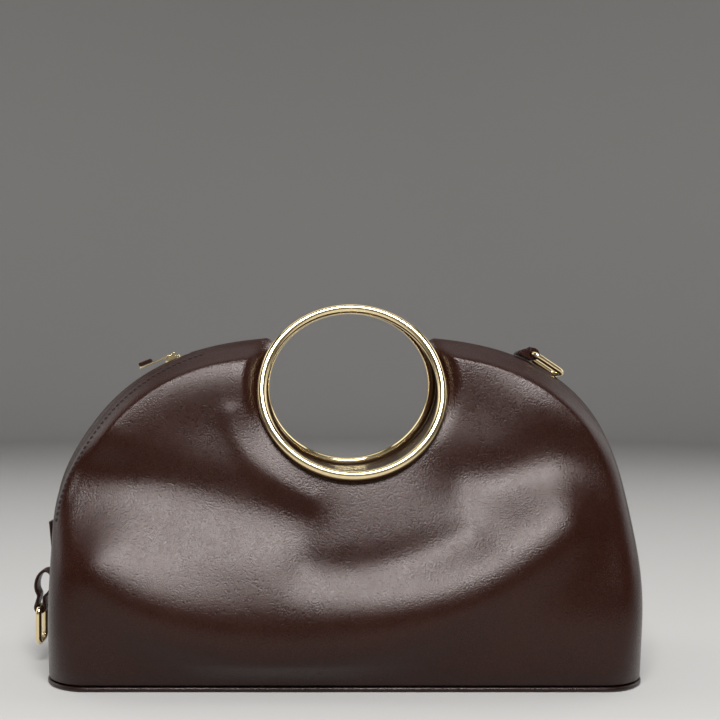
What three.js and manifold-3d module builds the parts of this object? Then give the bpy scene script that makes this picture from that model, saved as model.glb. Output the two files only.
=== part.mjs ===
// A half-moon leather bag with two ring handles, standing on its base.
// Millimetres. +X is to the right of someone facing the bag, +Y is its back and +Z is up.
// The origin is the middle of the base, on the surface that the bag stands on.
import * as THREE from 'three';
import Module from 'manifold-3d';
import { mergeVertices } from 'three/addons/utils/BufferGeometryUtils.js';

const wasm = await Module();
wasm.setup();

// Leather walls and the clearance that sewn pieces keep
const WALL = 2;
const GAP = 0.3;

// Outline seen from the front: upright sides that bend into a dome, each with a soft swell or hollow
const HALF_WIDTH = 154;
const TOP_Z = 180.5;
const SHOULDER_Z = 30;
const DOME_POWER = 2.96;
const DOME_LEAN = 3.8;
const LEFT_SWELL = { z: 98, spread: 26, out: 3.4 };
const RIGHT_HOLLOW = { z: 92, spread: 32, out: -2.6 };
const WALL_FOOT_Z = 2.9;

// Gusset seam: half its depth, and the roll of the panel's edge in front of it, at the foot and at the top
const SEAM_DEPTH = { foot: 31, top: 5 };
const EDGE_ROLL = { foot: 24, top: 9 };
const GUSSET_CROWN = 5;

// Ring handles: two tori that lean together above the hand hole
const RING_X = 4.7;
const RING_Z = 151.2;
const RING_RADIUS = 48.2;
const RING_WIRE = 2.65;
const RING_LEAN = THREE.MathUtils.degToRad(23.5);
const RING_HALF_SPAN = 22.5;
const NOTCH_RADIUS = 50;
const COLLAR_RADII = { inner: 50.2, outer: 52 };
const COLLAR_PLAY = 0.2;
const NOTCH_END_EDGE = 5;

// Base and its piping
const BASE_THICKNESS = 2.6;
const BASE_INSET = 2.2;
const PIPING_RADIUS = 1.2;
const PIPING_OUTSET = -0.6;
const PIPING_LIFT = 0.1;

// Zip in the left gusset, between two points of the dome
const ZIP_TOP_X = -84;
const ZIP_FOOT_Z = 84;
const ZIP_SLOT_HALF = 4;
const TAPE_SUNK = 3.3;
const TAPE_HALF = 5.2;
const TAPE_THICKNESS = 1;
const TAPE_OVERLAP = 3;
const COIL_HALF = 2.2;
const COIL_HEIGHT = 1.6;
const COIL_SHORTFALL = 1;

// Zip slider and pull
const SLIDER_X = -93;
const SLIDER = { length: 9, width: 6.8, thickness: 1.8, sunk: 1.1, corner: 2 };
const BRIDGE = { halfLength: 2.4, halfWidth: 1.1, height: 2.6, chamfer: 0.8, eye: 0.9 };
const PULLER = { length: 19, halfWidth: 2.6, thickness: 0.9 };
const PULLER_ARMS = { halfWidth: 2.9, end: 5.2, slotHalf: 1.6, slotEnd: 4.2 };
const PULLER_DROOP = THREE.MathUtils.degToRad(-6);
const PULL_TAB = { from: 11, to: 18.5, halfWidth: 2.1, thickness: 2 };

// Strap rings: rounded rectangles of round wire, held by a bar in a leather loop
const STRAP_WIRE = 1.6;
const STRAP_RING = { length: 18.6, halfWidth: 7, corner: 3.2 };
const LOOP_CLEARANCE = 0.35;
const LOOP_WALL = 1.6;
const TAB_HALF_WIDTH = 4.75;
const RIGHT_HINGE_X = 102;
const RIGHT_TAB_LEG = { length: 7.5, waist: 3.6, waistHeight: 6.2, foot: 1.8, sag: 0.9 };
const RIGHT_ROLL = THREE.MathUtils.degToRad(-6);
const SIDE_HINGE = { x: -166.5, z: 30.5 };
const SIDE_LEG_TOP_Z = 78;
const SIDE_STANDOFF = 0.5;
const SIDE_TONGUE = { rootTopZ: 40, rootFootZ: 33, tipOut: 2, tipUp: 6 };
const SIDE_LOBE = { x: -164.4, z: 43.8, acrossRadius: 5.3, alongRadius: 8 };
const SIDE_LOBE_TILT = THREE.MathUtils.degToRad(12);

// How far the panels stand out from the middle, by height: the upper rows lie against the leaning rings
const ringSeat = (z) => {
  const wireMiddle = RING_HALF_SPAN - (z - RING_Z) * Math.tan(RING_LEAN);
  return wireMiddle - (RING_WIRE + GAP) / Math.cos(RING_LEAN);
};
const FACE_PROFILE = [
  { z: WALL_FOOT_Z, depth: 56 },
  { z: 12, depth: 59.5 },
  { z: 30, depth: 63 },
  { z: 44, depth: 62.4 },
  { z: 60, depth: 58 },
  { z: 80, depth: 49.8 },
  { z: 100, depth: ringSeat(100) },
  { z: 140, depth: ringSeat(140) },
  { z: TOP_Z, depth: ringSeat(TOP_Z) },
];

// Main folds of the leather, each along a bent line seen from the front, with its spread to either side of
// that line: a dent has a negative rise
const FRONT_FOLDS = [
  { name: 'belly ridge', from: [-122, 60], by: [-30, -26], to: [112, 82], above: 24, below: 16, rise: 6.5 },
  { name: 'groove over it', from: [-18, 64], by: [20, 60], to: [64, 82], above: 10, below: 9, rise: -2 },
  { name: 'left valley', from: [-135, 104], by: [-84, 100], to: [-26, 82], above: 16, below: 12, rise: -3.4 },
  { name: 'right valley', from: [58, 98], by: [84, 98], to: [108, 114], above: 20, below: 13, rise: -3.2 },
  { name: 'left pouch', from: [-112, 150], by: [-92, 164], to: [-66, 163], above: 16, below: 26, rise: 9 },
  { name: 'right pouch', from: [68, 168], by: [88, 169], to: [110, 154], above: 16, below: 26, rise: 8.5 },
  { name: 'ring-side fold', from: [-60, 138], by: [-56, 112], to: [-18, 95], above: 6, below: 6, rise: 1 },
  { name: 'right ridge', from: [108, 138], by: [114, 110], to: [106, 84], above: 12, below: 20, rise: 2.6 },
];
const BACK_FOLDS = [
  { name: 'belly ridge', from: [-122, 82], by: [0, 0], to: [122, 82], above: 11, below: 16, rise: 4 },
  { name: 'left pouch', from: [-104, 144], by: [-88, 150], to: [-72, 150], above: 24, below: 24, rise: 5.5 },
  { name: 'right pouch', from: [72, 152], by: [86, 154], to: [100, 148], above: 24, below: 24, rise: 5.5 },
];
const FOLD_CLEARANCE = { seam: 9, ring: 10, foot: 14 };

// Steps of the searches, and facets of the walls and wires
const SEARCH_STEPS = 45;
const FOLD_STEPS = 60;
const DOME_STEPS = 15;
const FOOT_STEPS = 28;
const RADIAL_STEPS = 11;
const GUSSET_STEPS = 4;
const ZIP_STEPS = 2;
const COLLAR_STEPS = 32;
const RING_STEPS = { around: 10, along: 46 };
const STRAP_RING_STEPS = { around: 8, corner: 3 };
const PIPING_SIDES = 6;
const SAME_POINT = 0.01;

const leather = (color) => new THREE.MeshStandardMaterial({ color, roughness: 0.42, metalness: 0 });
const gold = () => new THREE.MeshStandardMaterial({ color: 0xd9bf7a, roughness: 0.16, metalness: 1 });
const fabric = () => new THREE.MeshStandardMaterial({ color: 0x1d1412, roughness: 0.85, metalness: 0 });
const BODY_COLOR = 0x43291f;
const TRIM_COLOR = 0x2a1813;

const blend = (low, high, share) => low + (high - low) * share;
const smooth = (value, limit) => {
  const share = THREE.MathUtils.clamp(value / limit, 0, 1);
  return share * share * (3 - 2 * share);
};
// 0 at nothing and 1 above the limit, rising at once and then flattening out
const eased = (value, limit) => Math.sin((Math.PI / 2) * THREE.MathUtils.clamp(value / limit, 0, 1));
// The last value between two at which a test still holds
function lastWhere(holds, from, to) {
  let held = from;
  let failed = to;
  for (let step = 0; step < SEARCH_STEPS; step += 1) {
    const middle = (held + failed) / 2;
    if (holds(middle)) held = middle;
    else failed = middle;
  }
  return held;
}

const heightShare = (z) => THREE.MathUtils.clamp(z / TOP_Z, 0, 1);
const seamDepth = (z) => blend(SEAM_DEPTH.foot, SEAM_DEPTH.top, heightShare(z));
const edgeRoll = (z) => blend(EDGE_ROLL.foot, EDGE_ROLL.top, heightShare(z));
const domeRise = (z) => Math.max(0, z - SHOULDER_Z) / (TOP_Z - SHOULDER_Z);
const leanAt = (z) => DOME_LEAN * domeRise(z);
const halfWidthAt = (x, z) => {
  const side = x > 0 ? RIGHT_HOLLOW : LEFT_SWELL;
  return HALF_WIDTH + side.out * Math.exp(-(((z - side.z) / side.spread) ** 2));
};

// Depth of the face at a height, on a smooth curve through the rows of the profile
function faceDepth(z) {
  const last = FACE_PROFILE.length - 1;
  const row = (index) => FACE_PROFILE[THREE.MathUtils.clamp(index, 0, last)];
  let index = 0;
  while (index < last - 1 && z > row(index + 1).z) index += 1;
  const slope = (at) => (row(at + 1).depth - row(at - 1).depth) / (row(at + 1).z - row(at - 1).z);
  const span = row(index + 1).z - row(index).z;
  const share = THREE.MathUtils.clamp((z - row(index).z) / span, 0, 1);
  const start = row(index).depth;
  const end = row(index + 1).depth;
  const leave = slope(index) * span;
  const arrive = slope(index + 1) * span;
  const bend = share * share * (3 - 2 * share);
  const ease = share * (1 - share);
  return blend(start, end, bend) + ease * ((1 - share) * leave - share * arrive);
}

// 1 on the dome's outline, 0 in the middle of its foot
function domeShare(x, z) {
  const across = Math.abs(x - leanAt(z)) / halfWidthAt(x, z);
  return (across ** DOME_POWER + domeRise(z) ** DOME_POWER) ** (1 / DOME_POWER);
}

// Distance to the outline, measured away from the middle of the shoulder line
function outlineInset(x, z) {
  const share = domeShare(x, z);
  if (share === 0) return HALF_WIDTH;
  const reach = Math.hypot(x - leanAt(z), Math.max(0, z - SHOULDER_Z));
  return Math.max(0, reach * (1 / share - 1));
}

// Distance from the ring's wire, seen from the front
function ringInset(x, z) {
  const flattened = (z - RING_Z) / Math.cos(RING_LEAN);
  return Math.max(0, Math.hypot(x - RING_X, flattened) - NOTCH_RADIUS);
}

// Height of the folds at a point seen from the front
function foldRise(folds, x, z) {
  const spot = new THREE.Vector2(x, z);
  let rise = 0;
  for (const fold of folds) {
    const curve = new THREE.QuadraticBezierCurve(
      new THREE.Vector2(...fold.from),
      new THREE.Vector2(...fold.by),
      new THREE.Vector2(...fold.to),
    );
    const points = curve.getPoints(FOLD_STEPS);
    const distances = points.map((point) => point.distanceTo(spot));
    const away = Math.max(Math.min(...distances), SAME_POINT);
    const nearest = distances.indexOf(Math.min(...distances));
    const side = curve.getTangent(nearest / FOLD_STEPS).cross(spot.clone().sub(points[nearest])) / away;
    const spread = blend(fold.below, fold.above, (1 + side) / 2);
    rise += fold.rise * Math.exp(-((away / spread) ** 2));
  }
  const free = smooth(outlineInset(x, z), FOLD_CLEARANCE.seam)
    * eased(ringInset(x, z), FOLD_CLEARANCE.ring)
    * smooth(z - WALL_FOOT_Z, FOLD_CLEARANCE.foot);
  return rise * free;
}

// How far a panel stands out from the middle plane
function panelDepth(folds, x, z) {
  const seam = seamDepth(z);
  const roll = edgeRoll(z);
  const inset = Math.min(outlineInset(x, z), roll);
  const turned = Math.sqrt(1 - (1 - inset / roll) ** 2);
  return seam + (faceDepth(z) - seam) * turned + foldRise(folds, x, z);
}

// Rays from the ring's centre: angle 0 points straight down, positive angles turn to the right
const rayPoint = (angle, reach) => [RING_X + reach * Math.sin(angle), RING_Z - reach * Math.cos(angle)];
const rayAngle = (x, z) => Math.atan2(x - RING_X, RING_Z - z);

function outlineReach(angle) {
  const isInside = (reach) => {
    const [x, z] = rayPoint(angle, reach);
    return domeShare(x, z) < 1 && z > WALL_FOOT_Z;
  };
  return lastWhere(isInside, 0, 2 * HALF_WIDTH);
}

function ellipseReach(angle, radius) {
  return radius / Math.hypot(Math.sin(angle), Math.cos(angle) / Math.cos(RING_LEAN));
}

// The angle at which the leather between notch and outline has shrunk to a short edge
function notchEndAngle(sign) {
  const band = (turn) => outlineReach(sign * turn) - ellipseReach(sign * turn, NOTCH_RADIUS);
  return sign * lastWhere((turn) => band(turn) > NOTCH_END_EDGE, Math.PI / 2, Math.PI);
}

const footEdgeX = (sign) => leanAt(WALL_FOOT_Z) + sign * HALF_WIDTH;
const cornerAngle = (sign) => rayAngle(footEdgeX(sign), WALL_FOOT_Z);

// Angles from the foot's corner up one side to the end of the notch
function domeAngles(sign) {
  const from = cornerAngle(sign);
  const to = notchEndAngle(sign);
  return Array.from({ length: DOME_STEPS + 1 }, (_, step) => blend(from, to, step / DOME_STEPS));
}

// Angles along the foot from the left corner to the right, closer together round the corners
function footAngles() {
  return Array.from({ length: FOOT_STEPS + 1 }, (_, step) => {
    const x = leanAt(WALL_FOOT_Z) - HALF_WIDTH * Math.cos((Math.PI * step) / FOOT_STEPS);
    return rayAngle(x, WALL_FOOT_Z);
  });
}

// A closed wall from columns of outer points: holdEdge squares its edges and settle keeps its inside clear
function wallGeometry(outer, thickness, holdEdge, settle = () => {}) {
  const columns = outer.length;
  const rows = outer[0].length;
  const lastColumn = columns - 1;
  const lastRow = rows - 1;
  const hold = (step, last) => THREE.MathUtils.clamp(step, 0, last);
  const at = (column, row) => outer[hold(column, lastColumn)][hold(row, lastRow)];
  const inner = outer.map((points, column) => points.map((point, row) => {
    const along = at(column + 1, row).clone().sub(at(column - 1, row));
    const down = at(column, row + 1).clone().sub(at(column, row - 1));
    const normal = down.cross(along).normalize();
    holdEdge(normal, column, row, point);
    const inside = point.clone().addScaledVector(normal.normalize(), -thickness);
    settle(inside);
    return inside;
  }));
  const positions = [...outer.flat(), ...inner.flat()].flatMap((point) => point.toArray());
  const triangles = [];
  const quad = (...corners) => {
    const [a, b, c, d] = corners.map(([side, column, row]) => (side * columns + column) * rows + row);
    triangles.push(a, b, c, a, c, d);
  };
  for (let column = 0; column < lastColumn; column += 1) {
    const next = column + 1;
    for (let row = 0; row < lastRow; row += 1) {
      const below = row + 1;
      quad([0, column, row], [0, column, below], [0, next, below], [0, next, row]);
      quad([1, column, row], [1, next, row], [1, next, below], [1, column, below]);
    }
    quad([0, column, 0], [0, next, 0], [1, next, 0], [1, column, 0]);
    quad([0, column, lastRow], [1, column, lastRow], [1, next, lastRow], [0, next, lastRow]);
  }
  for (let row = 0; row < lastRow; row += 1) {
    const below = row + 1;
    quad([0, 0, row], [1, 0, row], [1, 0, below], [0, 0, below]);
    quad([0, lastColumn, row], [0, lastColumn, below], [1, lastColumn, below], [1, lastColumn, row]);
  }
  const geometry = new THREE.BufferGeometry();
  geometry.setAttribute('position', new THREE.Float32BufferAttribute(positions, 3));
  geometry.setIndex(triangles);
  return facingOut(geometry);
}

// Turns the faces of a closed mesh outward
function facingOut(geometry) {
  const position = geometry.getAttribute('position');
  const corners = geometry.getIndex().array;
  const point = (corner) => new THREE.Vector3().fromBufferAttribute(position, corners[corner]);
  let volume = 0;
  for (let first = 0; first < corners.length; first += 3) {
    volume += point(first).dot(point(first + 1).cross(point(first + 2)));
  }
  if (volume < 0) {
    for (let first = 0; first < corners.length; first += 3) {
      [corners[first], corners[first + 1]] = [corners[first + 1], corners[first]];
    }
  }
  geometry.computeVertexNormals();
  return geometry;
}

function toManifold(geometry) {
  const plain = geometry.clone();
  plain.deleteAttribute('normal');
  if (plain.hasAttribute('uv')) plain.deleteAttribute('uv');
  const merged = mergeVertices(plain);
  return new wasm.Manifold(new wasm.Mesh({
    numProp: 3,
    vertProperties: Float32Array.from(merged.getAttribute('position').array),
    triVerts: Uint32Array.from(merged.getIndex().array),
  }));
}

function fromManifold(solid) {
  const mesh = solid.getMesh();
  const geometry = new THREE.BufferGeometry();
  geometry.setAttribute('position', new THREE.Float32BufferAttribute(mesh.vertProperties, 3));
  geometry.setIndex(Array.from(mesh.triVerts));
  geometry.computeVertexNormals();
  return geometry;
}

function named(name, geometry, material) {
  const mesh = new THREE.Mesh(geometry, material);
  mesh.name = name;
  return mesh;
}

// Front and back panels: sign is -1 at the front
function panel(name, sign, folds) {
  const left = domeAngles(-1).reverse();
  const right = domeAngles(1);
  const angles = [...left, ...footAngles().slice(1, -1), ...right];
  const outer = angles.map((angle) => {
    const start = ellipseReach(angle, NOTCH_RADIUS);
    const end = outlineReach(angle);
    return Array.from({ length: RADIAL_STEPS + 1 }, (_, step) => {
      const share = Math.sin((Math.PI / 2) * (step / RADIAL_STEPS));
      const [x, z] = rayPoint(angle, blend(start, end, share));
      return new THREE.Vector3(x, sign * panelDepth(folds, x, z), z);
    });
  });
  const lastLeft = left.length - 1;
  const firstRight = angles.length - right.length;
  const holdEdge = (normal, column, row) => {
    if (sign > 0) normal.negate();
    if (row < RADIAL_STEPS) return;
    if (column <= lastLeft || column >= firstRight) normal.y = 0;
    if (column >= lastLeft && column <= firstRight) normal.z = 0;
  };
  const settle = (inside) => {
    inside.y = sign * Math.max(sign * inside.y, seamDepth(inside.z));
  };
  return named(name, wallGeometry(outer, WALL, holdEdge, settle), leather(BODY_COLOR));
}

// Direction out of the bag at a point of the outline
function outwardAt(x, z) {
  const sideways = domeShare(x + SAME_POINT, z) - domeShare(x - SAME_POINT, z);
  const upward = domeShare(x, z + SAME_POINT) - domeShare(x, z - SAME_POINT);
  return new THREE.Vector2(sideways, upward).normalize();
}

// How far the gusset swells outward: most at half its height, nothing at its seams
const gussetCrown = (z, across) => {
  const swell = 4 * heightShare(z) * (1 - heightShare(z));
  return GUSSET_CROWN * swell * (1 - across * across);
};

// A strip that follows the outline, sunk below the gusset's face by a depth
function stripGeometry(angles, halfWidth, sunk, thickness, acrossSteps) {
  const outer = angles.map((angle) => {
    const [x, z] = rayPoint(angle, outlineReach(angle));
    const out = outwardAt(x, z);
    return Array.from({ length: acrossSteps + 1 }, (_, step) => {
      const aside = halfWidth(z) * ((2 * step) / acrossSteps - 1);
      const lift = gussetCrown(z, aside / seamDepth(z)) - sunk;
      return new THREE.Vector3(x + lift * out.x, aside, z + lift * out.y);
    });
  });
  const holdEdge = (normal, column, row, point) => {
    const out = outwardAt(point.x, point.z);
    if (normal.x * out.x + normal.z * out.y < 0) normal.negate();
    if (row === 0 || row === acrossSteps) normal.y = 0;
    if (column === 0) normal.z = 0;
  };
  return wallGeometry(outer, thickness, holdEdge);
}

const gussetHalf = (z) => seamDepth(z) - GAP;

// Angles along the zip, lengthened at both ends by an amount
function zipAngles(extra) {
  const foot = rayAngle(footEdgeX(-1), ZIP_FOOT_Z - extra);
  const top = rayAngle(ZIP_TOP_X + extra, domeHeight(ZIP_TOP_X + extra));
  return Array.from({ length: DOME_STEPS + 1 }, (_, step) => blend(foot, top, step / DOME_STEPS));
}

// Height of the dome at a place across the bag
function domeHeight(x) {
  return lastWhere((z) => domeShare(x, z) < 1, SHOULDER_Z, TOP_Z);
}

// The side strips between the panels: the left one is open along the zip
function gussets() {
  const strip = (sign) => stripGeometry(domeAngles(sign), gussetHalf, 0, WALL, GUSSET_STEPS);
  const slot = stripGeometry(zipAngles(0), () => ZIP_SLOT_HALF, -2 * WALL, 5 * WALL, ZIP_STEPS);
  const slotted = fromManifold(toManifold(strip(-1)).subtract(toManifold(slot)));
  return [
    named('gusset_left', slotted, leather(BODY_COLOR)),
    named('gusset_right', strip(1), leather(BODY_COLOR)),
  ];
}

// The zip's tape under the slot and its closed coil
function zip() {
  const coilSunk = TAPE_SUNK - GAP - COIL_HEIGHT;
  const tapeAngles = zipAngles(TAPE_OVERLAP);
  const coilAngles = zipAngles(-COIL_SHORTFALL);
  const tape = stripGeometry(tapeAngles, () => TAPE_HALF, TAPE_SUNK, TAPE_THICKNESS, ZIP_STEPS);
  const coil = stripGeometry(coilAngles, () => COIL_HALF, coilSunk, COIL_HEIGHT, ZIP_STEPS);
  return [named('zip_tape', tape, fabric()), named('zip_coil', coil, fabric())];
}

// The leather trough under the two rings, between the panels
function ringCollar() {
  const from = notchEndAngle(-1);
  const to = notchEndAngle(1);
  const outer = Array.from({ length: COLLAR_STEPS + 1 }, (_, step) => {
    const angle = blend(from, to, step / COLLAR_STEPS);
    const [x, z] = rayPoint(angle, ellipseReach(angle, COLLAR_RADII.outer));
    const halfDepth = ringSeat(z) - (WALL + GAP) / Math.cos(RING_LEAN) - COLLAR_PLAY;
    return [-1, 0, 1].map((side) => new THREE.Vector3(x, side * halfDepth, z));
  });
  const holdEdge = (normal, column, row, point) => {
    normal.set(point.x - RING_X, 0, (point.z - RING_Z) / Math.cos(RING_LEAN) ** 2);
  };
  const thickness = COLLAR_RADII.outer - COLLAR_RADII.inner;
  return named('ring_collar', wallGeometry(outer, thickness, holdEdge), leather(BODY_COLOR));
}

// A ring handle, leaning over the hand hole: sign is -1 at the front
function ringHandle(name, sign) {
  const torus = new THREE.TorusGeometry(RING_RADIUS, RING_WIRE, RING_STEPS.around, RING_STEPS.along);
  const mesh = named(name, torus, gold());
  mesh.rotation.x = Math.PI / 2 + sign * RING_LEAN;
  mesh.position.set(RING_X, sign * RING_HALF_SPAN, RING_Z);
  return mesh;
}

// The foot of the walls seen from above, moved outward by an amount
function footLoop(outset) {
  const half = footAngles().map((angle) => {
    const [x] = rayPoint(angle, outlineReach(angle));
    return new THREE.Vector2(x, -panelDepth([], x, WALL_FOOT_Z));
  });
  const loop = [...half, ...half.map((point) => new THREE.Vector2(point.x, -point.y)).reverse()];
  return loop.map((point, step) => {
    const before = loop[(step + loop.length - 1) % loop.length];
    const after = loop[(step + 1) % loop.length];
    const run = after.clone().sub(before).normalize();
    return new THREE.Vector2(point.x + outset * run.y, point.y - outset * run.x);
  });
}

// The flat base inside the feet of the walls
function basePanel() {
  const shape = new THREE.Shape(footLoop(-BASE_INSET));
  const geometry = new THREE.ExtrudeGeometry(shape, { depth: BASE_THICKNESS, bevelEnabled: false });
  return named('base_panel', geometry, leather(TRIM_COLOR));
}

// A round wire along a closed line of points
function closedWire(points, radius, sides) {
  const count = points.length;
  const positions = [];
  points.forEach((point, step) => {
    const run = points[(step + 1) % count].clone().sub(points[(step + count - 1) % count]).normalize();
    const upright = new THREE.Vector3(0, 0, 1);
    const aside = run.clone().cross(upright).normalize();
    for (let side = 0; side < sides; side += 1) {
      const turn = (2 * Math.PI * (side + 0.5)) / sides;
      const rim = point.clone()
        .addScaledVector(aside, radius * Math.cos(turn))
        .addScaledVector(upright, radius * Math.sin(turn));
      positions.push(...rim.toArray());
    }
  });
  const triangles = [];
  for (let step = 0; step < count; step += 1) {
    const next = (step + 1) % count;
    for (let side = 0; side < sides; side += 1) {
      const beside = (side + 1) % sides;
      const a = step * sides + side;
      const b = next * sides + side;
      const c = next * sides + beside;
      const d = step * sides + beside;
      triangles.push(a, b, c, a, c, d);
    }
  }
  const geometry = new THREE.BufferGeometry();
  geometry.setAttribute('position', new THREE.Float32BufferAttribute(positions, 3));
  geometry.setIndex(triangles);
  return facingOut(geometry);
}

// The piping round the base, just clear of the surface that the base stands on
function basePiping() {
  const middleZ = PIPING_RADIUS + PIPING_LIFT;
  const line = footLoop(PIPING_OUTSET).map((point) => new THREE.Vector3(point.x, point.y, middleZ));
  return named('base_piping', closedWire(line, PIPING_RADIUS, PIPING_SIDES), leather(TRIM_COLOR));
}

// A group whose X runs down the dome from one place to another and whose Z faces out of the bag
function domeFrame(fromX, toX, roll) {
  const start = new THREE.Vector3(fromX, 0, domeHeight(fromX));
  const down = new THREE.Vector3(toX, 0, domeHeight(toX)).sub(start).normalize();
  const out = new THREE.Vector3(Math.abs(down.z) * Math.sign(down.x), 0, Math.abs(down.x));
  const group = new THREE.Group();
  group.quaternion.setFromRotationMatrix(new THREE.Matrix4().makeBasis(down, out.clone().cross(down), out));
  group.rotateX(roll);
  group.position.copy(start).addScaledVector(out, gussetCrown(start.z, 0));
  return group;
}

function roundedRectangle(length, width, radius) {
  const shape = new THREE.Shape();
  const right = length / 2;
  const top = width / 2;
  shape.moveTo(-right + radius, -top);
  shape.lineTo(right - radius, -top);
  shape.absarc(right - radius, -top + radius, radius, -Math.PI / 2, 0);
  shape.absarc(right - radius, top - radius, radius, 0, Math.PI / 2);
  shape.absarc(-right + radius, top - radius, radius, Math.PI / 2, Math.PI);
  shape.absarc(-right + radius, -top + radius, radius, Math.PI, 1.5 * Math.PI);
  return shape;
}

// A flat shape in X and Z, given a width along Y
function crosswise(shape, halfWidth, curveSegments) {
  const depth = 2 * halfWidth;
  const geometry = new THREE.ExtrudeGeometry(shape, { depth, bevelEnabled: false, curveSegments });
  geometry.rotateX(Math.PI / 2);
  geometry.translate(0, halfWidth, 0);
  return geometry;
}

// The slider, with the puller and its leather tab lying down the dome
function zipPull() {
  const group = domeFrame(SLIDER_X, SLIDER_X - SLIDER.length, 0);
  const plate = new THREE.ExtrudeGeometry(
    roundedRectangle(SLIDER.length, SLIDER.width, SLIDER.corner),
    { depth: SLIDER.thickness, bevelEnabled: false, curveSegments: 4 },
  );
  plate.translate(0, 0, -SLIDER.sunk);
  const bridgeFoot = SLIDER.thickness / 2 - SLIDER.sunk;
  const plateTop = SLIDER.thickness - SLIDER.sunk;
  const bridgeTop = plateTop + BRIDGE.height;
  const { halfLength, chamfer } = BRIDGE;
  const arch = new THREE.Shape();
  arch.moveTo(-halfLength, bridgeFoot);
  arch.lineTo(halfLength, bridgeFoot);
  arch.lineTo(halfLength, bridgeTop - chamfer);
  arch.lineTo(halfLength - chamfer, bridgeTop);
  arch.lineTo(-halfLength + chamfer, bridgeTop);
  arch.lineTo(-halfLength, bridgeTop - chamfer);
  const pinZ = plateTop + BRIDGE.height / 2;
  arch.holes.push(new THREE.Path().absarc(0, pinZ, BRIDGE.eye, 0, 2 * Math.PI, true));
  const bridge = crosswise(arch, BRIDGE.halfWidth, 6);
  const slider = named('zip_slider', fromManifold(toManifold(plate).add(toManifold(bridge))), gold());

  const half = PULLER.thickness / 2;
  const { length, halfWidth } = PULLER;
  const { slotHalf, slotEnd } = PULLER_ARMS;
  const pull = new THREE.Shape();
  pull.moveTo(-half, -PULLER_ARMS.halfWidth);
  pull.lineTo(PULLER_ARMS.end, -PULLER_ARMS.halfWidth);
  pull.lineTo(length - halfWidth, -halfWidth);
  pull.absarc(length - halfWidth, 0, halfWidth, -Math.PI / 2, Math.PI / 2);
  pull.lineTo(PULLER_ARMS.end, PULLER_ARMS.halfWidth);
  pull.lineTo(-half, PULLER_ARMS.halfWidth);
  const slot = new THREE.Path();
  slot.moveTo(half, -slotHalf);
  slot.lineTo(half, slotHalf);
  slot.lineTo(slotEnd, slotHalf);
  slot.lineTo(slotEnd, -slotHalf);
  pull.holes.push(slot);
  const pullGeometry = new THREE.ExtrudeGeometry(
    pull,
    { depth: PULLER.thickness, bevelEnabled: false, curveSegments: 5 },
  );
  const puller = named('zip_puller', pullGeometry, gold());
  puller.position.z = -half;

  const tabShape = roundedRectangle(PULL_TAB.to - PULL_TAB.from, PULL_TAB.thickness, PULL_TAB.thickness / 3);
  const tab = named('pull_tab', crosswise(tabShape, PULL_TAB.halfWidth, 3), leather(BODY_COLOR));
  tab.position.set((PULL_TAB.from + PULL_TAB.to) / 2, 0, half + GAP + PULL_TAB.thickness / 2);

  const swing = new THREE.Group();
  swing.position.z = pinZ;
  swing.rotation.y = PULLER_DROOP;
  swing.add(puller, tab);
  group.add(slider, swing);
  return group;
}

// A strap ring in its own plane: the held bar lies on Y at the origin and the ring reaches along X
function strapRing(name) {
  const { length, halfWidth, corner } = STRAP_RING;
  const flat = roundedRectangle(length, 2 * halfWidth, corner).getPoints(STRAP_RING_STEPS.corner);
  const points = flat.map((point) => new THREE.Vector3(point.x + length / 2, point.y, 0));
  const toNext = (step) => points[step].distanceTo(points[(step + 1) % points.length]);
  const spaced = points.filter((point, step) => toNext(step) > SAME_POINT);
  return named(name, closedWire(spaced, STRAP_WIRE, STRAP_RING_STEPS.around), gold());
}

const circle = (x, z, radius) => new THREE.Shape().absarc(x, z, radius, 0, 2 * Math.PI);
const LOOP_EYE = STRAP_WIRE + LOOP_CLEARANCE;
const LOOP_OUTER = LOOP_EYE + LOOP_WALL;

// The leather tab on the right of the dome and the ring that it holds
function rightStrapRing() {
  const group = domeFrame(RIGHT_HINGE_X, RIGHT_HINGE_X + STRAP_RING.length, RIGHT_ROLL);
  const lift = LOOP_OUTER + GAP;
  const { length, waist, waistHeight, foot, sag } = RIGHT_TAB_LEG;
  const leg = new THREE.Shape();
  leg.moveTo(-length, GAP - sag);
  leg.lineTo(0, GAP);
  leg.lineTo(0, lift + LOOP_OUTER);
  leg.lineTo(-waist, waistHeight);
  leg.lineTo(-length, GAP - sag + foot);
  const solid = (shape, extra) => toManifold(crosswise(shape, TAB_HALF_WIDTH + extra, 8));
  const tabSolid = solid(leg, 0)
    .add(solid(circle(0, lift, LOOP_OUTER), 0))
    .subtract(solid(circle(0, lift, LOOP_EYE), 1));
  const tab = named('right_tab', fromManifold(tabSolid), leather(BODY_COLOR));
  const ring = strapRing('right_strap_ring');
  ring.position.z = lift;
  group.add(tab, ring);
  return group;
}

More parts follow.
